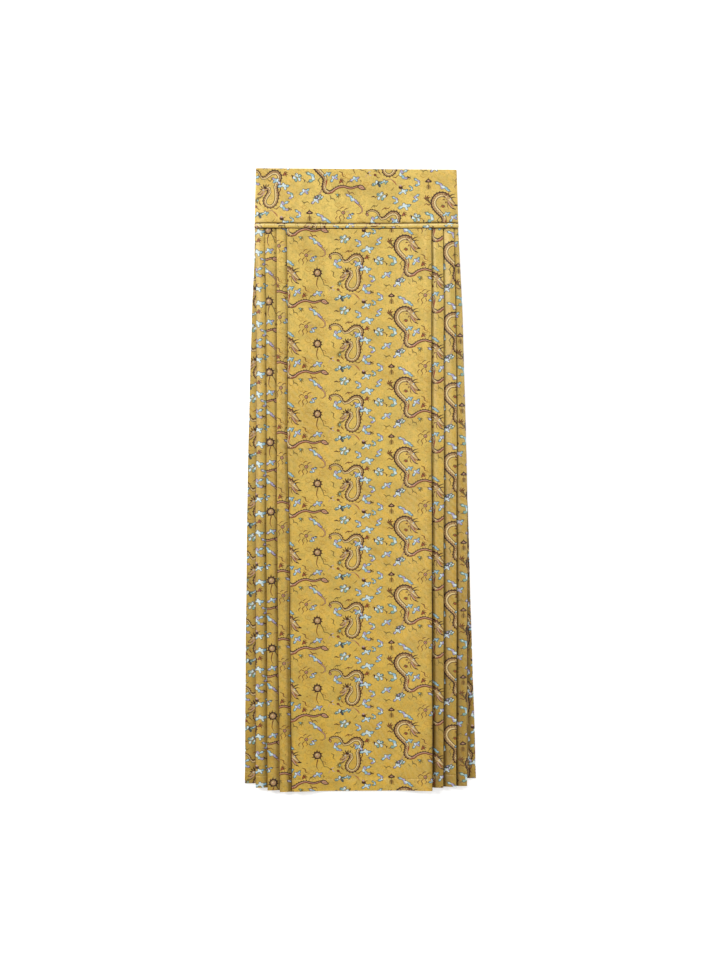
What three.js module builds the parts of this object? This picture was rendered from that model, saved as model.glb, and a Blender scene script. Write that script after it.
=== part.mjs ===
// Horse-face skirt (mamianqun), laid flat with the front up and the waistband toward +Y.
// Millimetres, +Z up. The origin is under the middle of the skirt, on the surface it lies on.
//
// The skirt is a flattened tube of cloth. A wide smooth panel lies in the middle of the front
// and another in the middle of the back. Between them, on each side, one length of cloth is
// laid in knife pleats whose fold edges point outward: every strip nearer the middle lies on
// the next one out. The wall of the cloth runs on through every fold.
import * as THREE from "three";

// ---- driving sizes
const CLOTH = 1.0;          // wall of one layer of satin
const LAYER_GAP = 0.35;     // clear space between two layers that lie on each other
const PITCH = CLOTH + LAYER_GAP;
const SEAM_GAP = 0.3;       // clear space between two sewn pieces
const TURN = 0.65;          // how far a fold's round reaches along the cloth
const MID_GAP = 0.55;       // more clear space between the front half and the back half
const RETURN_WAIST = 10;    // depth of a pleat's hidden return at the waist
const RETURN_HEM = 9;       // and at the hem
const RETURN_SHARE = 0.62;  // and never more than this share of the strip it hangs from
const EASE_WAIST = 9;       // run-out of a layer that climbs over a fold, at the waist
const EASE_HEM = 10;        // and at the hem
const BAND = 2.4;           // waistband: doubled satin with a stiffener
const BAND_ROUND = 1.3;     // centre-line radius of the waistband's side round
const BAND_TOP_LEFT = 499.0;   // y of the waistband's top edge at its left corner
const BAND_TOP_RIGHT = 496.6;  // and at its right corner
const BAND_BOTTOM = 411.2;
const STRIP_TOP = BAND_BOTTOM - SEAM_GAP;
const SKIRT_TOP = 401.9;
const STRIP_BOTTOM = SKIRT_TOP + SEAM_GAP;
const STRIP_PROUD = 0.45;   // the narrow strip stands this much above the band
const WAIST_LIFT = 1.7;     // the front panel climbs this much into the waist seam

// ---- stations along the skirt: y, and how much of the waist lift is left there
const STATIONS = [
  { at: "waist", y: SKIRT_TOP, lift: 1, down: 0 },
  { at: "press", y: 348.6, lift: 0, down: 0.1 },
  { at: "hip", y: 279.8, lift: 0, down: 0.2 },
  { at: "knee", y: 31.8, lift: 0, down: 0.45 },
  { at: "calf", y: -48.2, lift: 0, down: 0.55 },
  { at: "hem", y: null, lift: 0, down: 1 },
];

// ---- fold edges: distance out from the middle line at each station, from the side fold in to
// the panel's edge; hemY is where that strip's hem ends. back and backHem say how far further
// in the matching fold of the back lies, and how much shorter its hem is.
const LEFT_FOLDS = [
  { fold: "side", waist: 168.8, press: 169.6, hip: 173.3, knee: 179.4, calf: 181.3, hem: 185.0, hemY: -485.8, back: 0, backHem: 2.0 },
  { fold: "pleat1", waist: 168.0, press: 167.4, hip: 166.1, knee: 166.1, calf: 167.3, hem: 167.2, hemY: -492.3, back: 8.2, backHem: 3.4 },
  { fold: "pleat2", waist: 152.0, press: 151.6, hip: 149.8, knee: 149.9, calf: 150.2, hem: 148.2, hemY: -496.5, back: 8.8, backHem: 3.0 },
  { fold: "pleat3", waist: 133.8, press: 133.7, hip: 133.4, knee: 133.4, calf: 133.0, hem: 128.6, hemY: -499.0, back: 8.0, backHem: 2.6 },
  { fold: "panel", waist: 117.3, press: 116.8, hip: 116.0, knee: 116.0, calf: 113.4, hem: 109.3, hemY: -498.4, back: 8.6, backHem: 3.2 },
];
const RIGHT_FOLDS = [
  { fold: "side", waist: 154.4, press: 157.0, hip: 160.0, knee: 167.7, calf: 172.2, hem: 185.0, hemY: -477.6, back: 0, backHem: 2.2 },
  { fold: "pleat1", waist: 156.5, press: 159.5, hip: 162.7, knee: 170.4, calf: 171.0, hem: 170.6, hemY: -489.6, back: 7.6, backHem: 2.8 },
  { fold: "pleat2", waist: 149.1, press: 150.6, hip: 152.2, knee: 154.2, calf: 153.8, hem: 153.4, hemY: -490.7, back: 8.6, backHem: 3.4 },
  { fold: "pleat3", waist: 132.0, press: 132.6, hip: 133.4, knee: 133.4, calf: 133.4, hem: 132.6, hemY: -492.2, back: 8.2, backHem: 2.4 },
  { fold: "panel", waist: 113.7, press: 113.7, hip: 113.7, knee: 113.7, calf: 114.2, hem: 115.2, hemY: -497.1, back: 8.8, backHem: 3.0 },
];
const NEAR_FOLD = [0.34, 0.67];                           // points beside a fold edge, by return
const PANEL_EDGE_STEPS = [12, 14.5, 18, 23, 30, 60];      // further points across a panel
const WAIST_LEFT = -169.4;    // side edges of the band and strip where they meet the skirt
const WAIST_RIGHT = 157.1;
const BAND_TOP_X = { left: -167.4, right: 154.4 };

// ---- helpers
const lerp = (a, b, t) => a + (b - a) * t;
const ease = (t) => { const u = Math.min(1, Math.max(0, t)); return u * u * (3 - 2 * u); };

// Layers of one side at one station, from the surface up, measured outward from the middle.
function layersAt(folds, station) {
  const depth = lerp(RETURN_WAIST, RETURN_HEM, station.down);
  const f = folds.map((row) => ({ q: row[station.at], hem: row.hemY }));
  const d = folds.map((row, k) => (k === 0 || k === 4 ? depth
    : Math.min(depth, RETURN_SHARE * (row[station.at] - folds[k + 1][station.at]))));
  const b = folds.map((row) => ({ q: row[station.at] - row.back, hem: row.hemY + row.backHem }));
  const layer = (inner, outer, hemIn, hemOut, deep) => ({ inner, outer, hemIn, hemOut, deep });
  const list = [layer(-Infinity, b[4].q, b[4].hem, b[4].hem)];            // back panel
  for (let k = 4; k >= 1; k--) {
    list.push(layer(b[k].q - d[k], b[k].q, b[k - 1].hem, b[k].hem, d[k]));  // its return
    list.push(layer(b[k].q - d[k], b[k - 1].q, b[k - 1].hem, b[k - 1].hem, d[k])); // next strip
  }
  for (let k = 1; k <= 4; k++) {
    list.push(layer(f[k].q - d[k], f[k - 1].q, f[k - 1].hem, f[k - 1].hem, d[k])); // strip
    list.push(layer(f[k].q - d[k], f[k].q, f[k - 1].hem, f[k].hem, d[k]));  // return over it
  }
  list.push(layer(-Infinity, f[4].q, f[4].hem, f[4].hem));                // front panel
  return list;
}

// 1 where a layer lies, running out to 0 over the ease beside it.
function cover(layer, q, run) {
  return ease((q - layer.inner) / run + 1) * ease((layer.outer - q) / run + 1);
}

// Height of the centre of layer number n at distance q out, on one side's stack.
function stackHeight(layers, n, q, station) {
  const run = lerp(EASE_WAIST, EASE_HEM, station.down);
  let sum = 0;
  for (let i = 0; i < n; i++) sum += cover(layers[i], q, run);
  return CLOTH / 2 + PITCH * sum + (n > 8 ? MID_GAP : 0);
}

// The climb of the front layers into the waist seam, between the two pleated stacks.
function waistLift(x, station, run = EASE_WAIST) {
  const left = -(LEFT_FOLDS[4].waist - RETURN_WAIST - 2 * run);
  const right = RIGHT_FOLDS[4].waist - RETURN_WAIST - 2 * run;
  return WAIST_LIFT * station.lift * ease((x - left) / run + 1) * ease((right - x) / run + 1);
}

const yOf = (station, hem) => (station.y === null ? hem : station.y);

// Points along layer n of one side, from its outer end inward, all at the same places as the
// points of the layers over and under it.
function pointsOf(layers, n) {
  const l = layers[n];
  const strip = n % 2 === (n > 8 ? 1 : 0);
  const next = l.inner + l.deep;                           // the fold that covers this strip
  const list = [l.outer - TURN];
  const beside = (from, deep) => NEAR_FOLD.map((share) => from - share * deep);
  if (strip && (n === 9 || n === 8)) {
    list.push(lerp(l.outer - TURN, next, 1 / 3), lerp(l.outer - TURN, next, 2 / 3), next);
  } else if (strip) {
    const tip = layers[n > 8 ? n - 1 : n + 1].deep;        // the return that hangs from its edge
    list.push(...beside(l.outer, tip), l.outer - tip, lerp(l.outer - tip, next, 0.5), next);
  }
  list.push(...beside(strip ? next : l.outer, l.deep), l.inner + (n === 15 || n === 2 ? 0 : TURN));
  for (let i = 1; i < list.length; i++) list[i] = Math.min(list[i], list[i - 1] - 0.12);
  return list;
}

// Centre line of a zig-zag of layers: strips joined by round turns at their ends.
function pleatLine(folds, sign, station) {
  const layers = layersAt(folds, station);
  const line = [];
  for (let n = 15; n >= 2; n--) {
    const outward = n % 2 === 1;
    const l = layers[n];
    const list = pointsOf(layers, n);
    if (outward) list.reverse();
    for (const q of list) {
      const hem = lerp(l.hemIn, l.hemOut, Math.min(1, Math.max(0, (q - l.inner) / (l.outer - l.inner))));
      line.push([sign * q, yOf(station, hem), stackHeight(layers, n, q, station)]);
    }
    if (n === 2) break;
    const end = line[line.length - 1];
    const q0 = sign * end[0];
    const z1 = stackHeight(layers, n - 1, q0, station);
    for (const deg of [45, 90, 135]) {
      const r = (deg * Math.PI) / 180;
      const q = q0 + (outward ? 1 : -1) * TURN * Math.sin(r);
      line.push([sign * q, end[1], lerp(end[2], z1, (1 - Math.cos(r)) / 2)]);
    }
  }
  return line;
}

// Centre line of a panel with both side edges folded under (front) or over (back).
function panelLine(front, station) {
  const left = layersAt(LEFT_FOLDS, station);
  const right = layersAt(RIGHT_FOLDS, station);
  const face = front ? 17 : 0;
  const fold = front ? 16 : 1;
  const depth = lerp(RETURN_WAIST, RETURN_HEM, station.down);
  const height = (n, x) =>
    stackHeight(left, n, -x, station) + stackHeight(right, n, x, station) - CLOTH / 2 -
    (n > 0 ? PITCH : 0) + (front ? waistLift(x, station) - MID_GAP : 0);
  const hemAt = (x) => {
    const l = left[face], r = right[face];
    return lerp(l.hemOut, r.hemOut, (x + l.outer) / (l.outer + r.outer));
  };
  const line = [];
  const put = (n, x) => line.push([x, yOf(station, hemAt(x)), height(n, x)]);
  const turn = (from, to, x, dir) => {
    const z0 = height(from, x), z1 = height(to, x);
    for (const deg of [45, 90, 135]) {
      const r = (deg * Math.PI) / 180;
      line.push([x + dir * TURN * Math.sin(r), yOf(station, hemAt(x)), lerp(z0, z1, (1 - Math.cos(r)) / 2)]);
    }
  };
  const xl = -left[face].outer + TURN, xr = right[face].outer - TURN;
  const near = [...NEAR_FOLD.map((share) => share * depth), depth];
  const across = [...near, ...PANEL_EDGE_STEPS];
  for (const d of [...near].reverse()) put(fold, xl - TURN + d);
  put(fold, xl);
  turn(fold, face, xl, -1);
  put(face, xl);
  for (const d of across) put(face, xl - TURN + d);
  for (const d of [...across].reverse()) put(face, xr + TURN - d);
  put(face, xr);
  turn(face, fold, xr, 1);
  put(fold, xr);
  for (const d of near) put(fold, xr + TURN - d);
  return line;
}

// Closed wall of even thickness round a family of centre lines.
function wall(name, lines, thick, colour) {
  const n = lines[0].length, m = lines.length, pos = [], idx = [];
  for (const line of lines) {
    for (const side of [1, -1]) {
      for (let i = 0; i < n; i++) {
        const p = line[i], a = line[Math.max(0, i - 1)], b = line[Math.min(n - 1, i + 1)];
        const d0 = norm2(p[0] - a[0], p[2] - a[2]), d1 = norm2(b[0] - p[0], b[2] - p[2]);
        const u = i === 0 ? d1 : d0, v = i === n - 1 ? d0 : d1;
        const t = norm2(u[0] + v[0], u[1] + v[1]);
        const mitre = 1 / Math.max(0.6, t[0] * v[0] + t[1] * v[1]);
        const off = (side * thick * mitre) / 2;
        pos.push(p[0] - t[1] * off, p[1], Math.max(0, p[2] + t[0] * off)); // flat where it rests
      }
    }
  }
  const at = (j, side, i) => j * 2 * n + (side > 0 ? 0 : n) + i;
  const quad = (a, b, c, d) => idx.push(a, b, c, a, c, d);
  for (let j = 0; j < m - 1; j++) {
    for (let i = 0; i < n - 1; i++) {
      quad(at(j, 1, i), at(j + 1, 1, i), at(j + 1, 1, i + 1), at(j, 1, i + 1));
      quad(at(j, -1, i), at(j, -1, i + 1), at(j + 1, -1, i + 1), at(j + 1, -1, i));
    }
    quad(at(j, 1, 0), at(j, -1, 0), at(j + 1, -1, 0), at(j + 1, 1, 0));
    quad(at(j, 1, n - 1), at(j + 1, 1, n - 1), at(j + 1, -1, n - 1), at(j, -1, n - 1));
  }
  for (let i = 0; i < n - 1; i++) {
    quad(at(0, 1, i), at(0, 1, i + 1), at(0, -1, i + 1), at(0, -1, i));
    quad(at(m - 1, 1, i), at(m - 1, -1, i), at(m - 1, -1, i + 1), at(m - 1, 1, i + 1));
  }
  let volume = 0;
  const P = (k) => new THREE.Vector3(pos[3 * k], pos[3 * k + 1], pos[3 * k + 2]);
  for (let k = 0; k < idx.length; k += 3) volume += P(idx[k]).dot(P(idx[k + 1]).cross(P(idx[k + 2])));
  if (volume < 0) for (let k = 0; k < idx.length; k += 3) [idx[k + 1], idx[k + 2]] = [idx[k + 2], idx[k + 1]];
  const geo = new THREE.BufferGeometry();
  geo.setAttribute("position", new THREE.Float32BufferAttribute(pos, 3));
  geo.setIndex(idx);
  geo.computeVertexNormals();
  const mesh = new THREE.Mesh(geo, new THREE.MeshStandardMaterial({ color: colour, roughness: 0.42, metalness: 0.0 }));
  mesh.name = name;
  return mesh;
}

function norm2(x, z) {
  const l = Math.hypot(x, z) || 1;
  return [x / l, z / l];
}

// Centre line of the waistband or strip: along the front or back, its ends rounding toward the
// other half at the side seams. rise(x) is the height of the centre line.
function bandLine(front, left, right, yAt, rise) {
  const line = [];
  const end = front ? BAND_ROUND + BAND / 2 + SEAM_GAP : BAND_ROUND + BAND / 2;
  const put = (x, z) => line.push([x, yAt(x), z]);
  const start = end + (front ? 0.3 : -0.3);                // the round's ends face each other
  const round = (x, dir) => {
    const edge = x + dir * (BAND / 2), inside = edge + dir * BAND_ROUND, z1 = rise(inside);
    const steps = [0, 25, 50, 75].map((deg) => (deg * Math.PI) / 180);
    return [[edge, end], ...steps.map((r) => [edge + dir * BAND_ROUND * (1 - Math.cos(r)), lerp(start, z1, Math.sin(r))])];
  };
  for (const p of round(left, 1)) put(p[0], p[1]);
  const a = left + BAND / 2 + BAND_ROUND, b = right - BAND / 2 - BAND_ROUND;
  for (const x of BAND_X) if (x > a + 1 && x < b - 1) put(x, rise(x));
  for (const p of round(right, -1).reverse()) put(p[0], p[1]);
  return line;
}

// Points across the band: close together over the pleats, wide apart over the panel.
const BAND_X = [-158, -150, -142, -134, -127, -120, -113, -106, -99, -92, -84, -70, -40, 0, 40, 68, 82, 90,
  97, 104, 111, 118, 125, 132, 139, 146];

// Height of the centre of a layer laid on top of everything at the waist.
function topAtWaist(x) {
  const s = STATIONS[0];
  return stackHeight(layersAt(LEFT_FOLDS, s), 18, -x, s) + stackHeight(layersAt(RIGHT_FOLDS, s), 18, x, s) -
    CLOTH / 2 - 2 * PITCH - MID_GAP;
}

const FRONT_BASE = 2.9 + BAND / 2;      // centre of the front band where only the back band is under it
const BAND_PROUD = 0.6;                 // top of the band over the top of the pleats
const frontRise = (share, proud) => (x) => proud + lerp(FRONT_BASE,
  Math.max(FRONT_BASE, topAtWaist(x) - PITCH + CLOTH / 2 + BAND_PROUD - BAND / 2), share);
const backRise = () => BAND / 2;

const bandTop = (x) => lerp(BAND_TOP_LEFT, BAND_TOP_RIGHT, (x - BAND_TOP_X.left) / (BAND_TOP_X.right - BAND_TOP_X.left));
const BAND_ROWS = [
  { up: 0, share: 1 },
  { up: 0.35, share: 0.55 },
  { up: 0.7, share: 0.15 },
  { up: 1, share: 0 },
];
const bandLines = (front) => BAND_ROWS.map(({ up, share }) => bandLine(front,
  lerp(WAIST_LEFT, BAND_TOP_X.left, up), lerp(WAIST_RIGHT, BAND_TOP_X.right, up),
  (x) => lerp(BAND_BOTTOM, bandTop(x), up), front ? frontRise(share, 0) : backRise));
const stripLines = (front) => [STRIP_BOTTOM, STRIP_TOP].map((y) => bandLine(front, WAIST_LEFT, WAIST_RIGHT,
  () => y, front ? frontRise(1, STRIP_PROUD) : backRise));

const GOLD = 0xc9a227, GOLD_PALE = 0xd3ad35;
const group = new THREE.Group();
group.add(wall("front_horse_face_panel", STATIONS.map((s) => panelLine(true, s)), CLOTH, GOLD));
group.add(wall("back_horse_face_panel", STATIONS.map((s) => panelLine(false, s)), CLOTH, GOLD));
group.add(wall("left_pleats", STATIONS.map((s) => pleatLine(LEFT_FOLDS, -1, s)), CLOTH, GOLD));
group.add(wall("right_pleats", STATIONS.map((s) => pleatLine(RIGHT_FOLDS, 1, s)), CLOTH, GOLD));
group.add(wall("waistband_front", bandLines(true), BAND, GOLD_PALE));
group.add(wall("waistband_back", bandLines(false), BAND, GOLD_PALE));
group.add(wall("waist_strip_front", stripLines(true), BAND, GOLD_PALE));
group.add(wall("waist_strip_back", stripLines(false), BAND, GOLD_PALE));

export default group;
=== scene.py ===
# Horse-face skirt, laid flat with its front up. Metres in Blender; the drawing below works in
# millimetres and in chart units of 1.6 mm, and is scaled when each mesh is written.
import math
import bpy
import numpy as np
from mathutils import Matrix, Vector
from mathutils.geometry import delaunay_2d_cdt


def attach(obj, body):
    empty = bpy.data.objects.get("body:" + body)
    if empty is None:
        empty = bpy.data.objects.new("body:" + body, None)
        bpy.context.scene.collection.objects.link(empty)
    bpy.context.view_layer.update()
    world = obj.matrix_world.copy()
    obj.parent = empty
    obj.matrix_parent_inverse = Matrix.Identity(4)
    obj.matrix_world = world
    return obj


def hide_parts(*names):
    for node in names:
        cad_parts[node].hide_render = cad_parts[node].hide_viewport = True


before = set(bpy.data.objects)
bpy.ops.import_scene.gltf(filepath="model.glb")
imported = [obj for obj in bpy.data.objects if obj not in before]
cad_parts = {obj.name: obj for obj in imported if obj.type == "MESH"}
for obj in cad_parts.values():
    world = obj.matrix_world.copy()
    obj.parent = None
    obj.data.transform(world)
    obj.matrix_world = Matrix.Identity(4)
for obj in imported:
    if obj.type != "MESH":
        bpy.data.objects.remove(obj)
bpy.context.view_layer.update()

MM = 0.001

# ------------------------------------------------------------------ the skirt's own sizes, mm
CLOTH = 1.0
PITCH = 1.35
TURN = 0.65
MID_GAP = 0.55
SHELL = 0.45                  # the satin as seen, inside the 1 mm wall of its solid
SKIRT_TOP = 401.9
CALF = -48.2
LOW = -499.0
BAND_BOTTOM, STRIP_TOP, STRIP_BOTTOM = 411.2, 410.9, 402.2
WAIST_LEFT, WAIST_RIGHT = -169.4, 157.1
BAND_TOP_XL, BAND_TOP_XR = -167.4, 154.4
BAND_TOP_LEFT, BAND_TOP_RIGHT = 499.0, 496.6
HEM_TURN = 19.0               # depth of the turned-up hem

ETA = np.array([LOW, CALF, 31.8, 279.8, 348.6, SKIRT_TOP])


def tab(values, e):
    return np.interp(e, ETA, values[::-1])


def down(e):
    return tab([0, 0.1, 0.2, 0.45, 0.55, 1.0], e)


def lift(e):
    return tab([1, 0, 0, 0, 0, 0], e)


def ease(t):
    t = np.clip(t, 0.0, 1.0)
    return t * t * (3 - 2 * t)


# fold edges at waist, press, hip, knee, calf, hem; hem y; how far in and up the back's fold lies
LEFT = [
    ([168.8, 169.6, 173.3, 179.4, 181.3, 185.0], -485.8, 0.0, 2.0),
    ([168.0, 167.4, 166.1, 166.1, 167.3, 167.2], -492.3, 8.2, 3.4),
    ([152.0, 151.6, 149.8, 149.9, 150.2, 148.2], -496.5, 8.8, 3.0),
    ([133.8, 133.7, 133.4, 133.4, 133.0, 128.6], -499.0, 8.0, 2.6),
    ([117.3, 116.8, 116.0, 116.0, 113.4, 109.3], -498.4, 8.6, 3.2),
]
RIGHT = [
    ([154.4, 157.0, 160.0, 167.7, 172.2, 185.0], -477.6, 0.0, 2.2),
    ([156.5, 159.5, 162.7, 170.4, 171.0, 170.6], -489.6, 7.6, 2.8),
    ([149.1, 150.6, 152.2, 154.2, 153.8, 153.4], -490.7, 8.6, 3.4),
    ([132.0, 132.6, 133.4, 133.4, 133.4, 132.6], -492.2, 8.2, 2.4),
    ([113.7, 113.7, 113.7, 113.7, 114.2, 115.2], -497.1, 8.8, 3.0),
]


class Side:
    """One side's stack of layers, 0 the back panel and 17 the front one."""

    def __init__(self, rows, sign, seed):
        self.rows, self.sign, self.seed = rows, sign, seed

    def f(self, k, e):
        wob = 0.22 * np.sin(e / 61.0 + 1.7 * k + self.seed) + 0.14 * np.sin(e / 23.0 + 2.9 * k)
        return tab(self.rows[k][0], e) + wob * ease((SKIRT_TOP - e) / 60) * ease((e - LOW) / 40)

    def hem(self, k):
        return self.rows[k][1]

    def b(self, k, e):
        return self.f(k, e) - self.rows[k][2]

    def bhem(self, k):
        return self.rows[k][1] + self.rows[k][3]

    def d(self, k, e):
        depth = 10 - down(e)
        if k in (0, 4):
            return depth
        return np.minimum(depth, 0.62 * (self.f(k, e) - self.f(k + 1, e)))

    def ends(self, n, e):
        """inner and outer end of layer n; the panels have no inner end."""
        if n == 0:
            return None, self.b(4, e)
        if n == 17:
            return None, self.f(4, e)
        if n <= 8:
            k = 4 - (n - 1) // 2
            inner = self.b(k, e) - self.d(k, e)
            return inner, (self.b(k, e) if n % 2 == 1 else self.b(k - 1, e))
        k = (n - 9) // 2 + 1
        inner = self.f(k, e) - self.d(k, e)
        return inner, (self.f(k - 1, e) if n % 2 == 1 else self.f(k, e))

    def hems(self, n):
        if n == 0:
            return self.bhem(4), self.bhem(4)
        if n == 17:
            return self.hem(4), self.hem(4)
        if n <= 8:
            k = 4 - (n - 1) // 2
            return (self.bhem(k - 1), self.bhem(k)) if n % 2 == 1 else (self.bhem(k - 1),) * 2
        k = (n - 9) // 2 + 1
        return (self.hem(k - 1),) * 2 if n % 2 == 1 else (self.hem(k - 1), self.hem(k))

    def stack(self, n, q, e):
        run = 9 + down(e)
        z = np.full_like(q, CLOTH / 2)
        for i in range(n):
            inner, outer = self.ends(i, e)
            c = ease((outer - q) / run + 1)
            if inner is not None:
                reach = run
                if n == 17:                            # the panel bridges softly onto what lies under it
                    reach = run + 6 + 32 * ease((self.f(4, e) - inner - 2) / 6)
                c = c * ease((q - inner) / reach + 1)
            z = z + PITCH * c
        if n > 8:
            z = z + MID_GAP
        for k in (1, 2, 3, 4):
            if n >= (17 if k == 4 else 9 + 2 * k):
                f = self.f(k, e)
                z = z + PUFF[self.sign][k](e) * (ease((q - f + 42) / 38) if k == 4 else ease((q - f + 17) / 14))
        return z


def puff(waist, knee, hem):
    """how much rounder than its solid a front fold stands, down the skirt"""
    return lambda e: np.interp(e, [LOW, -250, 31.8, 300, SKIRT_TOP], [hem, 0.75 * hem + 0.25 * knee, knee, 0.5 * (knee + waist), waist])


PUFF = {
    -1: {1: puff(0.1, 0.5, 1.4), 2: puff(0.1, 0.7, 1.7), 3: puff(0.1, 0.8, 1.9), 4: puff(0.1, 0.8, 2.4)},
    1: {1: puff(0.1, 0.6, 1.6), 2: puff(0.1, 0.8, 1.9), 3: puff(0.1, 0.9, 2.1), 4: puff(0.1, 1.0, 3.4)},
}
SL, SR = Side(LEFT, -1, 0.0), Side(RIGHT, 1, 2.1)


def waist_lift(x, e):
    left, right = -(117.3 - 28), 113.7 - 28
    return 1.7 * lift(e) * ease((x - left) / 9 + 1) * ease((right - x) / 9 + 1)


# soft troughs and ridges, listed one by one: x, y of the middle, length, width, lean, height (mm)
CREASES = [
    (-70, -330, 230, 26, 0.10, 0.55), (-38, -250, 300, 20, -0.04, -0.50), (22, -300, 210, 24, 0.07, 0.45),
    (70, -380, 160, 18, -0.10, -0.45), (92, -120, 260, 22, 0.03, 0.35), (-92, 60, 330, 24, 0.02, 0.40),
    (-20, 150, 240, 30, 0.12, -0.30), (48, 40, 200, 26, -0.12, 0.32), (10, -420, 120, 30, 0.30, 0.55),
    (-60, -440, 90, 22, -0.35, -0.45), (60, 260, 150, 30, 0.20, 0.25), (-55, 330, 110, 26, -0.18, 0.25),
    (-141, -300, 260, 11, 0.02, 0.40), (-158, -150, 320, 10, -0.02, 0.35), (-125, -380, 180, 10, 0.03, -0.40),
    (124, -330, 240, 11, -0.02, 0.40), (143, -260, 300, 11, 0.01, 0.45), (161, -360, 220, 10, 0.03, -0.40),
    (142, 120, 240, 12, 0.01, 0.25), (-142, 180, 220, 12, 0.0, 0.25), (150, -450, 70, 16, 0.5, 0.35),
]


def ripple(x, y, z):
    """soft unevenness of the lying cloth: most at the top of the stack, none where it rests"""
    w = np.zeros_like(x)
    for cx, cy, length, width, lean, high in CREASES:
        u = (x - cx) - lean * (y - cy)
        w = w + high * np.exp(-(u / width) ** 2) * np.exp(-(((y - cy) / (0.6 * length)) ** 2))
    w = w + 0.10 * np.sin(x / 17.0 + y / 71.0) * np.sin(y / 53.0 - x / 90.0)
    w = w + 0.07 * np.sin(x / 7.3 - y / 120.0 + 1.0) * np.sin(y / 37.0 + 0.6)
    hang = ease((SKIRT_TOP - y) / 70)
    return z + (w + 0.35) * hang * ease((z - 2.6) / 5.0)


def settle(z):
    return z - (CLOTH / 2 - SHELL / 2 - 0.01) * np.clip(1 - (z - 0.5) / 8, 0, 1)


def y_of(e, hem):
    return np.where(e >= CALF, e, CALF + (e - CALF) / (LOW - CALF) * (hem - CALF))


def e_of(y, hem):
    return np.where(y >= CALF, y, CALF + (y - CALF) / (hem - CALF) * (LOW - CALF))


def hem_relief(y, hem):
    """the turned-up hem makes the cloth double below its stitch line, which is drawn in"""
    t = y - (hem + HEM_TURN)
    return 0.34 * ease((1.0 - t) / 3.0) - 0.42 * np.exp(-(t / 0.9) ** 2) - 0.16 * np.exp(-((t - 2.4) / 2.2) ** 2)


# ------------------------------------------------------------------ cloth pieces: domain and form
class Lay:
    def __init__(self, n, outward, s0, length):
        self.n, self.outward, self.s0, self.length = n, outward, s0, length
        self.s1 = s0 + length


TURN_LENGTH = 2.2


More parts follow.
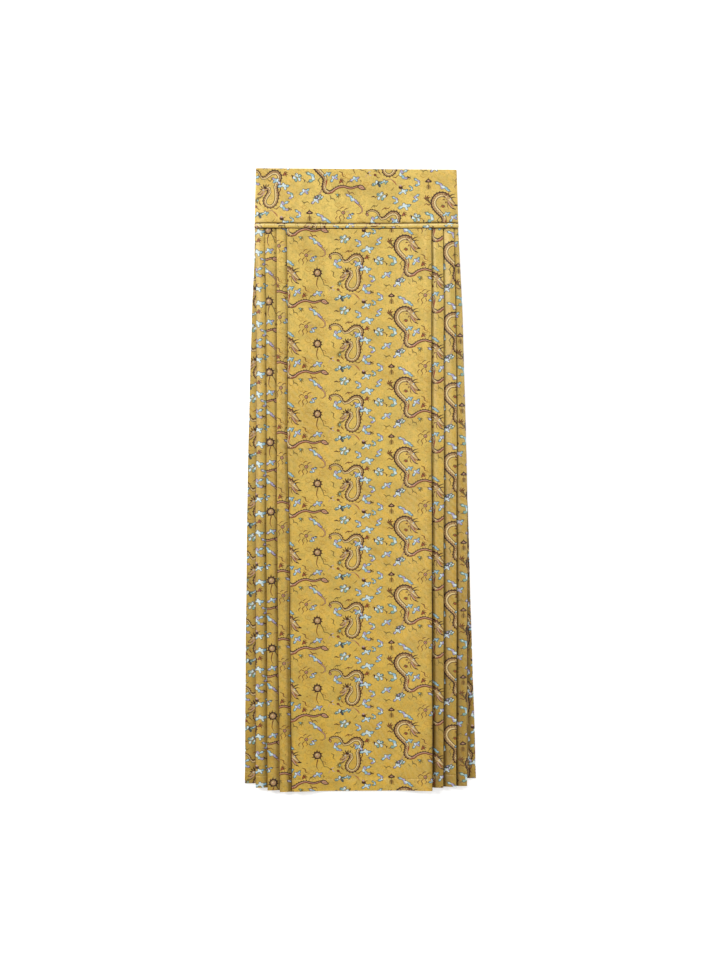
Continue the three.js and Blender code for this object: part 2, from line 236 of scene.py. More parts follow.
class Pleats:
    """one length of cloth through all the folds of a side; s runs along it, e down the skirt"""

    def __init__(self, side):
        self.side, self.sign = side, side.sign
        self.flip = side.sign
        self.lays, self.turns, s = [], [], 0.0
        for n in range(15, 1, -1):
            outward = n % 2 == 1
            e = np.array([CALF - 150.0])
            q0, q1 = self.span(n, e)
            length = float(abs(q1 - q0)[0])
            self.lays.append(Lay(n, outward, s, length))
            s += length
            if n > 2:
                self.turns.append((s, n))
                s += TURN_LENGTH
        self.total = s

    def span(self, n, e):
        """q at the start and the end of a lay, in the order that s runs"""
        inner, outer = self.side.ends(n, e)
        a = inner + (0 if n in (15, 2) else TURN)
        b = np.maximum(outer - TURN, a + 0.4)
        return (a, b) if n % 2 == 1 else (b, a)

    def hem_at(self, n, q, e):
        hin, hout = self.side.hems(n)
        if hin == hout:
            return np.full_like(q, hin)
        inner, outer = self.side.ends(n, e)
        return hin + (hout - hin) * np.clip((q - inner) / (outer - inner), 0, 1)

    def centre(self, s, e):
        x, y, z = np.zeros_like(s), np.zeros_like(s), np.zeros_like(s)
        for lay in self.lays:
            m = (s >= lay.s0 - 1e-9) & (s <= lay.s1 + 1e-9)
            if m.any():
                ee = e[m]
                q0, q1 = self.span(lay.n, ee)
                q = q0 + (q1 - q0) * (s[m] - lay.s0) / lay.length
                hem = self.hem_at(lay.n, q, ee)
                yy = y_of(ee, hem)
                x[m], y[m], z[m] = self.sign * q, yy, self.side.stack(lay.n, q, ee) + hem_relief(yy, hem) * self.seen(lay.n, q, ee)
        for s0, n in self.turns:
            m = (s > s0 + 1e-9) & (s < s0 + TURN_LENGTH - 1e-9)
            if m.any():
                ee = e[m]
                q0 = self.span(n, ee)[1]
                za, zb = self.side.stack(n, q0, ee), self.side.stack(n - 1, q0, ee)
                hem = self.hem_at(n, q0, ee)
                yy = y_of(ee, hem)
                if n % 2 == 1:
                    za = za + hem_relief(yy, hem) * self.seen(n, q0, ee)
                a = math.pi * (s[m] - s0) / TURN_LENGTH
                q = q0 + (1 if n % 2 == 1 else -1) * TURN * np.sin(a)
                x[m], y[m], z[m] = self.sign * q, yy, za + (zb - za) * (1 - np.cos(a)) / 2
        return x, y, z

    def seen(self, n, q, e):
        """1 where a front strip shows, 0 under the next fold"""
        if n % 2 == 0 or n < 9:
            return np.zeros_like(q)
        k = (n - 9) // 2
        return ease((q - self.side.f(k + 1, e) + 1.0) / 3.0)

    def shade(self, s, e, x, y):
        """painted shade: how deep a point lies in the corner under the next fold, and near its own fold edge; hidden
        layers get it in full
        """
        out = np.zeros_like(s)
        q = self.sign * x
        for lay in self.lays:
            seen = (lay.n % 2 == 1) == (lay.n >= 9)
            m = (s >= lay.s0 - 1.2) & (s <= lay.s1 + 1.2)
            if not m.any():
                continue
            if not seen:
                out[m] = 1.0
                continue
            k = (lay.n - 9) // 2 if lay.n >= 9 else 4 - lay.n // 2
            cover = self.side.f if lay.n >= 9 else self.side.b
            d = q[m] - cover(k + 1, e[m])
            top, low = (2.2, 5.5) if self.sign < 0 else (2.8, 19.0 if k == 3 else 13.0)
            reach = np.interp(e[m], [LOW, -150, 150, SKIRT_TOP], [low, 0.5 * low + 0.5 * top, top, top])
            force = np.interp(e[m], [LOW, 0, 300, SKIRT_TOP], [1.0, 0.26, 0.10, 0.08] if k == 3 else [1.0, 0.7, 0.4, 0.2]) * (0.8 if self.sign < 0 else 1.0)
            out[m] = force * np.exp(-np.maximum(0, d) / reach)
            edge = cover(k, e[m]) - q[m]
            out[m] = np.maximum(out[m], 0.55 * force * np.exp(-np.maximum(0, edge) / 1.6))
        return out

    def place(self, n, x, y):
        """s, e of a point of lay n given by its place on the lying skirt"""
        q = self.sign * x
        lay = self.lays[15 - n]
        hem = self.side.hems(n)[0]
        e = np.clip(e_of(y, hem), LOW - 40, SKIRT_TOP + 40)
        ec = np.clip(e, LOW, SKIRT_TOP)
        q0, q1 = self.span(n, ec)
        t = (q - q0) / (q1 - q0)
        s = lay.s0 + t * lay.length
        over = self.sign * 0 + (q - np.maximum(q0, q1))     # past the fold edge: on round the turn
        if lay.outward:
            s = np.where(over > 0, lay.s1 + over, s)
        else:
            s = np.where(over > 0, lay.s0 - over, s)
        return s, e

    def lines(self):
        out = []
        for lay in self.lays:
            seen = (lay.n % 2 == 1) == (lay.n >= 9)
            m = max(3, int(round(lay.length / 4.8))) if seen else 2
            out += [lay.s0 + lay.length * i / m for i in range(m + 1)]
        for s0, _n in self.turns:
            out += [s0 + TURN_LENGTH * i / 4 for i in range(1, 4)]
        return sorted(out)


class Panel:
    """a smooth panel with both side edges folded under (front) or over (back)"""

    def __init__(self, front):
        self.front, self.flip = front, (1 if front else -1)
        self.face, self.fold = (17, 16) if front else (0, 1)
        self.ret, self.width = 9.5 - TURN, 226.0
        self.total = 2 * self.ret + 2 * TURN_LENGTH + self.width
        self.s_left = self.ret + TURN_LENGTH
        self.s_right = self.s_left + self.width

    def edges(self, e):
        k = SL.f if self.front else SL.b
        r = SR.f if self.front else SR.b
        return -k(4, e) + TURN, r(4, e) - TURN

    def height(self, n, x, e):
        z = SL.stack(n, -x, e) + SR.stack(n, x, e) - CLOTH / 2 - (PITCH if n > 0 else 0)
        return z + (waist_lift(x, e) - MID_GAP if self.front else 0)

    def hem_at(self, x, e):
        xl, xr = self.edges(e)
        a, b = (SL.hem(4), SR.hem(4)) if self.front else (SL.bhem(4), SR.bhem(4))
        return a + (b - a) * np.clip((x - xl) / (xr - xl), 0, 1)

    def centre(self, s, e):
        xl, xr = self.edges(e)
        depth = 10 - down(e) - TURN
        t = (s - self.s_left) / self.width
        x = xl + (xr - xl) * np.clip(t, 0, 1)
        n_face = (s >= self.s_left) & (s <= self.s_right)
        left_ret, right_ret = s <= self.ret, s >= self.total - self.ret
        x = np.where(left_ret, xl + depth * (1 - s / self.ret), x)
        x = np.where(right_ret, xr - depth * (1 - (self.total - s) / self.ret), x)
        zf, zr = self.height(self.face, x, e), self.height(self.fold, x, e)
        hem = self.hem_at(x, e)
        y = y_of(e, hem)
        if self.front:
            zf = zf + hem_relief(y, hem)
        z = np.where(n_face, zf, zr)
        a_l = np.clip((s - self.ret) / TURN_LENGTH, 0, 1) * math.pi
        a_r = np.clip((s - self.s_right) / TURN_LENGTH, 0, 1) * math.pi
        in_l = (s > self.ret) & (s < self.s_left)
        in_r = (s > self.s_right) & (s < self.total - self.ret)
        z = np.where(in_l, zr + (zf - zr) * (1 - np.cos(a_l)) / 2, z)
        z = np.where(in_r, zf + (zr - zf) * (1 - np.cos(a_r)) / 2, z)
        x = np.where(in_l, xl - TURN * np.sin(a_l), x)
        x = np.where(in_r, xr + TURN * np.sin(a_r), x)
        return x, y, z

    def shade(self, s, e, x, y):
        # painted shade: darker near the panel's folded side edges, and dark on its folded-under returns
        d = np.minimum(np.maximum(0, s - self.s_left), np.maximum(0, self.s_right - s))
        force = np.interp(e, [LOW, 0, SKIRT_TOP], [0.5, 0.35, 0.2])
        out = force * np.exp(-d / 2.2)
        out[(s < self.s_left - 0.6) | (s > self.s_right + 0.6)] = 0.9
        return out

    def place(self, n, x, y):
        e = np.clip(y, CALF, SKIRT_TOP)
        for _ in range(2):
            hem = self.hem_at(x, np.clip(e, LOW, SKIRT_TOP))
            e = np.clip(e_of(y, hem), LOW - 40, SKIRT_TOP + 40)
        xl, xr = self.edges(np.clip(e, LOW, SKIRT_TOP))
        t = (x - xl) / (xr - xl)
        s = self.s_left + t * self.width
        s = np.where(x < xl, self.s_left + (x - xl), s)
        s = np.where(x > xr, self.s_right + (x - xr), s)
        return s, e

    def lines(self):
        out = [self.ret * i / 4 for i in range(5)] + [self.total - self.ret * i / 4 for i in range(5)]
        for s0 in (self.ret, self.s_right):
            out += [s0 + TURN_LENGTH * i / 6 for i in range(7)]
        for d in (1.5, 3.2, 5.5, 8.5, 12, 17, 22, 28, 35, 42, 49, 57):
            out += [self.s_left + d, self.s_right - d]
        return sorted(set(out))


class Band:
    """the waistband, or the narrow raised strip under it, with rounded edges and side rounds"""

    def __init__(self, front, strip):
        self.front, self.strip, self.flip = front, strip, (1 if front else -1)
        self.arc = 2.6
        self.width = 320.0
        self.total = self.width + 2 * self.arc
        if strip:
            self.e0, self.e1 = STRIP_BOTTOM, STRIP_TOP
        else:
            self.e0, self.e1 = BAND_BOTTOM, 499.0

    def up(self, e):
        return np.clip((e - self.e0) / (self.e1 - self.e0), 0, 1)

    def rise(self, x, up):
        if not self.front:
            return np.full_like(x, 1.2)
        e = np.full_like(x, SKIRT_TOP)
        top = SL.stack(18, -x, e) + SR.stack(18, x, e) - CLOTH / 2 - 2 * PITCH - MID_GAP
        top = np.maximum(4.1, top - PITCH + CLOTH / 2 + 0.6 - 1.2)
        face = SL.stack(17, -x, e) + SR.stack(17, x, e) - CLOTH / 2 - PITCH + waist_lift(x, e) - MID_GAP
        top = np.maximum(top, face - 0.2)              # no gap where the panel bridges onto the stack
        share = 1.0 if self.strip else np.interp(up, [0, 0.35, 0.7, 1], [1, 0.55, 0.15, 0])
        return 4.1 + (top - 4.1) * share + (0.45 if self.strip else 0.0)

    def sides(self, up):
        if self.strip:
            return np.full_like(up, WAIST_LEFT), np.full_like(up, WAIST_RIGHT)
        return WAIST_LEFT + (BAND_TOP_XL - WAIST_LEFT) * up, WAIST_RIGHT + (BAND_TOP_XR - WAIST_RIGHT) * up

    def y(self, x, up):
        if self.strip:
            return self.e0 + (self.e1 - self.e0) * up
        t = (x - BAND_TOP_XL) / (BAND_TOP_XR - BAND_TOP_XL)
        top = BAND_TOP_LEFT + (BAND_TOP_RIGHT - BAND_TOP_LEFT) * t
        return self.e0 + (top - self.e0) * up

    def centre(self, s, e):
        up = self.up(e)
        xl, xr = self.sides(up)
        t = np.clip((s - self.arc) / self.width, 0, 1)
        a, b = xl + 2.5, xr - 2.5
        x = a + (b - a) * t
        end = 2.8 if self.front else 2.5
        z = self.rise(x, up)
        al = np.clip((self.arc - s) / self.arc, 0, 1) * math.pi / 2      # 0 inside, 90 at the end
        ar = np.clip((s - self.total + self.arc) / self.arc, 0, 1) * math.pi / 2
        x = x - 1.3 * np.sin(al) + 1.3 * np.sin(ar)
        k = np.cos(al + ar)
        z = end + (z - end) * k
        return x, self.y(x, up), z

    def half(self, s, e):
        """half thickness, rounding off toward the long edges"""
        up = self.up(e)
        h = self.e1 - self.e0
        d = np.minimum(up, 1 - up) * h
        if self.strip:
            r = 2.6
            t = np.clip(d / r, 0, 1)
            return 0.25 + 1.25 * np.sqrt(np.maximum(0, 1 - (1 - t) ** 2))
        dt, db = (1 - up) * h, up * h
        t = np.clip(dt / 1.5, 0, 1)
        b = np.clip(db / 1.2, 0, 1)
        return np.minimum(0.12 + 1.0 * np.sqrt(1 - (1 - t) ** 2), 0.35 + 0.77 * np.sqrt(1 - (1 - b) ** 2))

    def shade(self, s, e, x, y):
        # painted shade along the lower edge of the waistband and of the narrow strip
        return 0.25 * np.exp(-(e - self.e0) / 1.5) if self.strip else 0.5 * np.exp(-(e - self.e0) / 1.6)

    def place(self, n, x, y):
        if self.strip:
            up = (y - self.e0) / (self.e1 - self.e0)
        else:
            t = (x - BAND_TOP_XL) / (BAND_TOP_XR - BAND_TOP_XL)
            top = BAND_TOP_LEFT + (BAND_TOP_RIGHT - BAND_TOP_LEFT) * t
            up = (y - self.e0) / (top - self.e0)
        xl, xr = self.sides(np.clip(up, 0, 1))
        t = (x - xl - 2.5) / (xr - xl - 5)
        return self.arc + t * self.width, self.e0 + up * (self.e1 - self.e0)

    def lines(self):
        n = 40
        out = [self.arc * i / 5 for i in range(6)] + [self.total - self.arc * i / 5 for i in range(6)]
        return sorted(set(out + [self.arc + self.width * i / n for i in range(1, n)]))

    def rows(self):
        h = self.e1 - self.e0
        if self.strip:
            ds = [0, 0.18, 0.5, 1.0, 1.7, 2.6, 3.6]
            return sorted(set([self.e0 + d for d in ds] + [self.e1 - d for d in ds]))
        near = [0, 0.12, 0.35, 0.7, 1.1, 1.6, 3.0]
        return sorted([self.e0 + d for d in near] + [self.e1 - d for d in near]
                      + [self.e0 + h * i / 14 for i in range(1, 14)])


# ------------------------------------------------------------------ the woven pattern's chart
(GROUND, DARK, BROWN, TAN, PALE, RED, SKY, WHITE, LILAC, SLATE, TEAL, OLIVE, ROSE, SHADE, PAINTED_HIGHLIGHT, OCHRE) = range(16)
LATTICE_X, LATTICE_Y, ROW = 119.0, -31.0, 70.5
ROW0 = 272.7


def spline(points, step=1.25):
    p = [np.array(a, float) for a in points]
    p = [2 * p[0] - p[1]] + p + [2 * p[-1] - p[-2]]
    out = []
    for i in range(1, len(p) - 2):
        a, b, c, d = p[i - 1], p[i], p[i + 1], p[i + 2]
        m = max(1, int(math.ceil(np.linalg.norm(c - b) / step)))
        for j in range(m):
            t = j / m
            out.append(0.5 * (2 * b + (c - a) * t + (2 * a - 5 * b + 4 * c - d) * t * t + (3 * b - a - 3 * c + d) * t ** 3))
    out.append(p[-2])
    return np.array(out)


def along(line):
    d = np.r_[0, np.cumsum(np.linalg.norm(np.diff(line, axis=0), axis=1))]
    return d / d[-1] if d[-1] > 0 else d


def normals(line):
    t = np.gradient(line, axis=0)
    t /= np.maximum(1e-9, np.linalg.norm(t, axis=1))[:, None]
    return np.stack([-t[:, 1], t[:, 0]], 1)


def width_at(line, w):
    if np.isscalar(w):
        return np.full(len(line), float(w))
    return np.interp(along(line), np.linspace(0, 1, len(w)), w)


class Chart:
    def __init__(self, fine):
        self.polys = []
        self.fine = fine

    def poly(self, colour, points):
        self.polys.append((colour, np.array(points, float)))

    def stroke(self, colour, points, w, step=2.6, shift=0.0):
        line = spline(points, 1.6 * step if self.fine else 2.0 * step)
        n, h = normals(line), width_at(line, w) / 2
        mid = line + n * (width_at(line, shift))[:, None] if not np.isscalar(shift) or shift else line
        a, b = mid + n * h[:, None], mid - n * h[:, None]
        for i in range(0, len(line) - 1, 4):
            j = min(i + 4, len(line) - 1)
            self.poly(colour, list(a[i:j + 1]) + list(b[i:j + 1][::-1]))

    def disc(self, colour, x, y, rx, ry=None, rot=0.0, n=7):
        ry = rx if ry is None else ry
        if not self.fine:
            n = max(5, n - 3)
        c, s = math.cos(rot), math.sin(rot)
        pts = []
        for i in range(n):
            a = 2 * math.pi * (i + 0.5) / n
            u, v = rx * math.cos(a), ry * math.sin(a)
            pts.append((x + u * c - v * s, y + u * s + v * c))
        self.poly(colour, pts)

    def tri(self, colour, x, y, dx, dy, w):
        """a spike from x, y along dx, dy, w wide at its root"""
        l = math.hypot(dx, dy)
        nx, ny = -dy / l * w / 2, dx / l * w / 2
        self.poly(colour, [(x + nx, y + ny), (x - nx, y - ny), (x + dx, y + dy)])

    def comma(self, colour, x, y, length, wide, turn, bend):
        """a tapering lobe, its tail bending aside"""
        c, s = math.cos(turn), math.sin(turn)
        pts = []
        for u, v in COMMA if self.fine else COMMA[::2]:
            px, py = u * length, v * wide + bend * (0.5 - u) ** 2
            pts.append((x + px * c - py * s, y + px * s + py * c))
        self.poly(colour, pts)

    # ---- a cloud: a few outlined lobes, and a wisp that trails from it
    def cloud(self, x, y, size, rot, kind, tone=SKY, second=LILAC, mirror=1, dark=0):
        lobes, wisps = CLOUDS[kind]
        size = 1.06 * size
        c, s = math.cos(rot), math.sin(rot)

        def at(p):
            u, v = p[0] * size * mirror, p[1] * size
            return (x + u * c - v * s, y + u * s + v * c)

        def turned(a):
            return rot + (math.pi - math.radians(a) if mirror < 0 else math.radians(a))

        for w in wisps if self.fine else wisps[:1]:
            self.stroke(SLATE if dark == 0 else BROWN, [at(p) for p in w], [0.9 * size, 0.7 * size, 0.2], step=3.0)
        for u, v, length, wide, a, bend in lobes:
            px, py = at((u, v))
            self.comma(SLATE, px, py, length * size + 1.15, 1.3 * wide * size + 1.05, turned(a), bend * size * mirror)
        fills = (tone, second, WHITE, tone, second, tone)
        for i, (u, v, length, wide, a, bend) in enumerate(lobes):
            px, py = at((u, v))
            self.comma(fills[i], px, py, length * size, 1.3 * wide * size, turned(a), bend * size * mirror)
            if self.fine and i % 2 == 0 and wide > 1.7:
                ox, oy = at((u + 0.1, v - 0.25))
                self.comma(WHITE, ox, oy, 0.5 * length * size, 0.55 * wide * size, turned(a), 0.4 * bend * size * mirror)
        for i in range(dark):
            u, v = lobes[i % len(lobes)][:2]
            px, py = at((u * 1.3 + 0.5 * i, v * 1.3 - 0.4 * i))
            self.comma(DARK, px, py, 2.1, 0.9, 0.9 * i, 0.6)

    # ---- a claw: four thin talons from a paw
    def claw(self, x, y, rot, size=1.0, colour=ROSE, talon=BROWN):
        self.disc(talon, x, y, 1.35 * size, 1.05 * size, rot, n=8)
        self.disc(colour, x, y, 0.95 * size, 0.7 * size, rot, n=7)
        for i, a in enumerate((-1.0, -0.35, 0.3, 0.95, 2.7)):
            b = rot + a
            l = (3.0, 3.5, 3.4, 2.8, 2.2)[i] * size
            p0 = (x + 0.8 * size * math.cos(b), y + 0.8 * size * math.sin(b))
            p1 = (x + 0.65 * l * math.cos(b + 0.12), y + 0.65 * l * math.sin(b + 0.12))
            p2 = (x + l * math.cos(b + 0.42), y + l * math.sin(b + 0.42))
            self.stroke(talon, [p0, p1, p2], [1.15 * size, 0.8 * size, 0.2], step=2.4)

    # ---- a dragon's body along a spine: outline, scales, belly and the dark jagged back
    def body(self, spine, w, back=1, belly=PALE, skin=TAN, scales=True, spikes=True, line_w=0.95):
        line = spline(spine, 3.1 if self.fine else 4.0)
        ww = 0.74 * width_at(line, w)
        n = normals(line)
        u = np.linspace(0, 1, 24)

        def ribbon(colour, width, shift):
            self.stroke(colour, spine, list(np.interp(u, along(line), width)), step=2.5, shift=list(np.interp(u, along(line), shift)))

        # the outline is wider on the back, where it is the dark crest
        crest = np.clip(ww * 0.34, 0.7, 1.2 * line_w)
        ribbon(DARK, ww + 0.45 + crest, back * (crest - 0.45) / 2)
        ribbon(skin, np.maximum(0.35, ww - 0.30), 0 * ww)
        if self.fine:
            ribbon(belly, ww * 0.34, -back * ww * 0.24)
        if scales and self.fine:
            for i in range(1, len(line) - 1):
                if ww[i] < 2.2:
                    continue
                t = np.array([n[i][1], -n[i][0]])
                p = line[i] + n[i] * (back * ww[i] * 0.16)
                self.poly(BROWN, [p + t * 0.75, p + n[i] * 0.28 * ww[i], p - t * 0.25, p - n[i] * 0.20 * ww[i]])
                if ww[i] > 3.0:
                    p = line[i] + t * 1.2 - n[i] * (back * ww[i] * 0.08)
                    self.poly(BROWN, [p + t * 0.6, p + n[i] * 0.17 * ww[i], p - n[i] * 0.17 * ww[i]])
        if spikes:
            for i in range(1, len(line) - 1):
                p = line[i] + n[i] * (back * (ww[i] * 0.5 + crest[i] * 0.7))
                t = np.array([n[i][1], -n[i][0]])
                d = n[i] * back * min(1.3, 0.6 + 0.24 * ww[i]) - t * 0.6
                self.tri(DARK, p[0], p[1], d[0], d[1], 1.35)


COMMA = [(-0.56, 0.0), (-0.26, -0.30), (0.08, -0.48), (0.40, -0.36), (0.49, 0.10), (0.22, 0.46), (-0.22, 0.24)]
# lobes: place, length, width, turn in degrees, bend of the tail; then the wisps
CLOUDS = {
    "leaf": ([(-2.5, 1.4, 4.6, 2.0, 155, 0.8), (0.6, -0.1, 5.0, 2.5, -28, -0.9), (-1.0, -1.0, 3.4, 1.8, -75, 0.7),
              (2.9, -1.5, 3.6, 1.8, -20, 1.0), (1.9, 1.4, 3.2, 1.5, 20, -0.7)],
             [[(3.4, -1.8), (5.2, -2.9), (6.2, -2.6)], [(-3.8, 1.9), (-5.4, 2.6), (-5.9, 1.8)]]),
    "cee": ([(2.0, -3.2, 4.0, 1.8, -12, 0.8), (-0.8, -2.4, 3.6, 2.1, 215, -0.6), (-2.0, 0.0, 3.6, 2.2, 95, 0.7),
             (-0.2, 2.4, 3.8, 2.2, 35, -0.8), (2.6, 3.2, 3.4, 1.7, 10, 0.7)],
            [[(3.6, -3.6), (5.0, -4.2), (5.4, -3.2)], [(3.4, 3.6), (5.0, 4.2), (5.8, 3.2)]]),
    "ess": ([(1.8, -3.2, 4.0, 1.9, -20, 0.8), (-0.6, -1.6, 3.6, 2.2, 110, -0.7), (1.0, 0.8, 3.6, 2.2, 60, 0.7),
             (-1.2, 2.8, 3.8, 1.9, 165, -0.7)],
            [[(3.0, -3.8), (4.4, -4.8), (5.4, -4.2)], [(-2.4, 3.4), (-3.8, 4.4), (-5.0, 3.8)]]),
    "vee": ([(-2.0, -2.8, 4.0, 1.9, 215, 0.7), (0.8, -1.4, 4.0, 2.3, 32, -0.8), (2.0, 0.6, 3.4, 2.2, 80, 0.7),
             (0.2, 2.4, 3.8, 2.0, 150, -0.7)],
            [[(-3.2, -3.6), (-4.6, -4.4), (-5.2, -3.4)], [(-1.0, 3.2), (-2.8, 4.2), (-3.8, 3.8)]]),
    "long": ([(-5.2, -3.2, 4.6, 1.9, 208, 0.8), (-2.4, -1.9, 4.4, 2.2, 30, -0.8), (0.4, 0.0, 4.8, 2.4, 32, 0.8),
              (3.4, 1.7, 4.4, 2.1, 28, -0.8), (-0.8, 1.0, 3.0, 1.5, 70, 0.6), (5.8, 3.2, 3.6, 1.5, 26, 0.6)],
             [[(-6.8, -4.0), (-8.4, -4.8), (-9.2, -4.2)], [(6.8, 3.8), (8.6, 4.9), (9.4, 4.4)]]),
    "puff": ([(-2.6, -1.0, 3.8, 2.2, 200, 0.7), (0.2, -2.2, 3.8, 2.3, -80, -0.7), (2.6, -0.4, 3.8, 2.2, -15, 0.7),
              (1.0, 1.9, 3.4, 2.1, 60, -0.6), (-1.8, 1.9, 3.6, 2.0, 130, 0.7)],
             [[(-4.0, 0.8), (-5.8, 1.8), (-6.6, 0.8)], [(3.8, -1.2), (5.4, -2.4), (6.4, -1.6)]]),
}


def draw_cell(fine):
    c = Chart(fine)
    # tone-on-tone swirls in the quiet parts of the ground, drawn first so that all else lies over them
    if fine:
        for x, y, r in ((309.0, 268.6, 4.2), (326.0, 279.4, 4.0), (322.4, 262.4, 3.6), (301.4, 247.6, 3.8), (329.6, 297.6, 3.6),
                        (352.0, 272.0, 0.0), (306.6, 290.2, 3.8), (386.6, 289.4, 3.4), (431.0, 259.0, 4.0), (372.0, 255.6, 0.0)):
            if r:
                for k, a0 in ((1.0, 0.4), (0.55, 3.4)):
                    pts = [(x + k * r * math.cos(a0 + a), y + 0.75 * k * r * math.sin(a0 + a)) for a in (0.0, 1.3, 2.6, 3.9)]
                    c.stroke(OCHRE, pts, [0.3, 0.7, 0.7, 0.3], step=2.6)
    # the flaming pearl
    px, py = 317.4, 272.7
    for i in range(10):
        a = 2 * math.pi * i / 10 + 0.15
        l = (2.3, 3.0, 2.0)[i % 3]
        if 1.15 < (a % (2 * math.pi)) < 1.95:
            continue
        c.tri(DARK, px + 3.5 * math.cos(a), py + 3.5 * math.sin(a), l * math.cos(a + 0.3), l * math.sin(a + 0.3), 1.9)
    c.disc(DARK, px, py, 4.2, n=14)
    c.disc(TAN, px, py, 2.75, n=11)
    c.disc(ROSE, px - 0.2, py - 0.1, 1.5, n=8)
    c.disc(PALE, px - 0.7, py - 0.8, 0.8, n=6)
    for a in (0.5, 2.2, 4.0, 5.4):
        c.disc(BROWN, px + 2.1 * math.cos(a), py + 2.1 * math.sin(a), 0.42, n=5)
    c.stroke(BROWN, [(317.9, 277.2), (316.9, 280.5), (316.5, 284.6), (318.6, 288.9)], [1.2, 0.9, 0.75, 0.3])
    c.stroke(OLIVE, [(320.6, 276.6), (322.9, 280.8), (324.0, 284.6), (328.0, 285.3), (330.6, 288.2)], [1.0, 0.8, 0.8, 0.7, 0.4])
    c.stroke(BROWN, [(322.4, 279.0), (325.4, 280.2), (326.0, 282.6)], [0.5, 0.6, 0.2])
    c.disc(DARK, 331.0, 287.6, 0.95, n=7)
    c.stroke(LILAC, [(331.6, 286.8), (333.8, 285.6)], [0.9, 0.3])
    c.stroke(ROSE, [(330.2, 288.9), (328.6, 291.0), (329.2, 292.6)], [0.8, 0.6, 0.2])
    c.stroke(LILAC, [(332.2, 288.6), (334.6, 290.4)], [0.8, 0.2])

    # a small beast with a ringed eye beside a cloud
    c.cloud(312.9, 258.9, 0.72, 0.3, "ess", SKY, LILAC, 1, 2)
    c.disc(DARK, 306.3, 255.6, 2.0, n=10)
    c.disc(ROSE, 306.3, 255.6, 1.35, n=9)
    c.disc(RED, 306.4, 255.7, 0.7, n=7)
    for p in ([(304.2, 254.2), (301.2, 253.0), (298.9, 255.2), (300.4, 257.4)], [(304.6, 257.6), (302.2, 260.0), (303.6, 263.0), (302.0, 265.6)],
              [(307.0, 253.4), (309.2, 251.4), (311.6, 251.0)], [(306.0, 258.0), (307.6, 260.8), (306.0, 263.0)],
              [(300.6, 258.6), (298.6, 261.0), (299.4, 263.6)], [(303.2, 252.0), (305.2, 250.2), (307.6, 250.0)]):
        c.stroke(BROWN, p, [0.6, 0.95, 0.8, 0.25], step=2.6)
    c.stroke(ROSE, [(309.0, 254.2), (311.0, 255.0), (312.0, 253.4)], [0.9, 0.8, 0.3])

    # a cloud that trails a curling ribbon
    c.stroke(BROWN, [(317.6, 244.6), (321.4, 247.6), (324.8, 250.9), (325.3, 254.4), (322.6, 256.7), (319.6, 256.3)], [1.3, 1.6, 1.7, 1.5, 1.1, 0.3])
    c.stroke(ROSE, [(317.6, 244.6), (321.4, 247.6), (324.8, 250.9), (325.3, 254.4), (322.6, 256.7)], [0.5, 0.8, 0.9, 0.7, 0.3])
    for p in ((321.9, 246.4), (324.4, 247.8), (326.3, 249.9)):
        c.tri(BROWN, p[0], p[1], 1.3, -1.1, 0.8)
    c.cloud(315.4, 242.2, 0.86, 0.12, "long", LILAC, SKY)

    # the looping dragon
    c.claw(366.4, 257.6, -0.5, 1.2, RED, BROWN)
    c.body([(329.2, 257.6), (330.4, 254.9), (333.6, 253.6), (337.6, 253.9), (340.9, 256.3), (342.3, 259.6)], [1.0, 1.3, 1.5, 1.6, 1.7, 1.9], back=-1, scales=False, line_w=0.9)
    c.disc(DARK, 330.3, 257.4, 1.9, 1.35, 1.2, n=9)
    c.disc(ROSE, 330.3, 257.4, 1.3, 0.85, 1.2, n=8)
    c.disc(RED, 330.5, 256.9, 0.6, n=6)
    c.stroke(OLIVE, [(349.4, 262.4), (352.2, 264.6), (353.6, 262.6), (352.8, 260.4)], [0.6, 1.4, 1.3, 0.5])
    c.body([(342.3, 259.6), (344.6, 261.9), (348.0, 260.9), (351.4, 258.2), (355.0, 256.1), (358.8, 256.3), (361.2, 259.2), (360.6, 263.4), (358.4, 267.2), (357.4, 271.2)],
           [1.9, 2.5, 3.3, 4.0, 4.5, 4.7, 4.6, 4.2, 3.8, 3.7], back=-1, line_w=1.0)
    c.body([(357.2, 269.4), (358.3, 275.6), (358.4, 281.4), (356.4, 286.8), (352.4, 289.3), (348.3, 287.8), (346.9, 283.9), (349.0, 279.2), (351.6, 275.4), (351.2, 271.8), (348.2, 270.9)],
           [3.6, 3.8, 3.9, 3.7, 3.4, 3.3, 3.3, 3.5, 3.6, 3.8, 3.6], back=-1, line_w=1.05)
    # its head, with mane and horns
    c.stroke(OLIVE, [(345.0, 277.6), (342.6, 280.4), (339.4, 281.0), (337.4, 283.4)], [1.9, 1.9, 1.5, 0.5])
    c.claw(339.8, 283.4, 2.4, 1.15, TEAL, OLIVE)
    c.stroke(DARK, [(348.8, 271.0), (345.6, 273.2), (342.8, 276.2), (339.8, 277.6)], [4.6, 4.4, 3.2, 1.6])
    c.stroke(TAN, [(348.6, 271.2), (345.6, 273.3), (342.8, 276.1), (340.2, 277.3)], [3.6, 3.4, 2.2, 0.8])
    c.stroke(ROSE, [(346.6, 275.2), (344.2, 278.0), (341.4, 280.0)], [1.5, 1.3, 0.5])
    c.stroke(DARK, [(344.6, 275.9), (342.2, 278.3)], [0.35, 0.3])
    for x, y, dx, dy in ((347.8, 269.2, 0.6, -2.6), (345.9, 269.6, -0.9, -2.7), (344.4, 270.9, -2.1, -2.0), (349.8, 269.0, 1.6, -1.8), (343.6, 272.6, -2.4, -0.6)):
        c.tri(DARK, x, y, dx, dy, 1.7)
    c.disc(DARK, 347.2, 270.8, 1.9, 1.5, 0.3, n=9)
    c.disc(WHITE, 345.3, 273.2, 0.62, n=7)
    c.disc(DARK, 345.2, 273.3, 0.3, n=6)
    c.disc(RED, 341.0, 276.8, 0.5, n=6)
    c.disc(DARK, 338.1, 289.3, 1.6, 1.3, 0.4, n=9)
    c.disc(RED, 338.1, 289.3, 0.95, 0.7, 0.4, n=8)
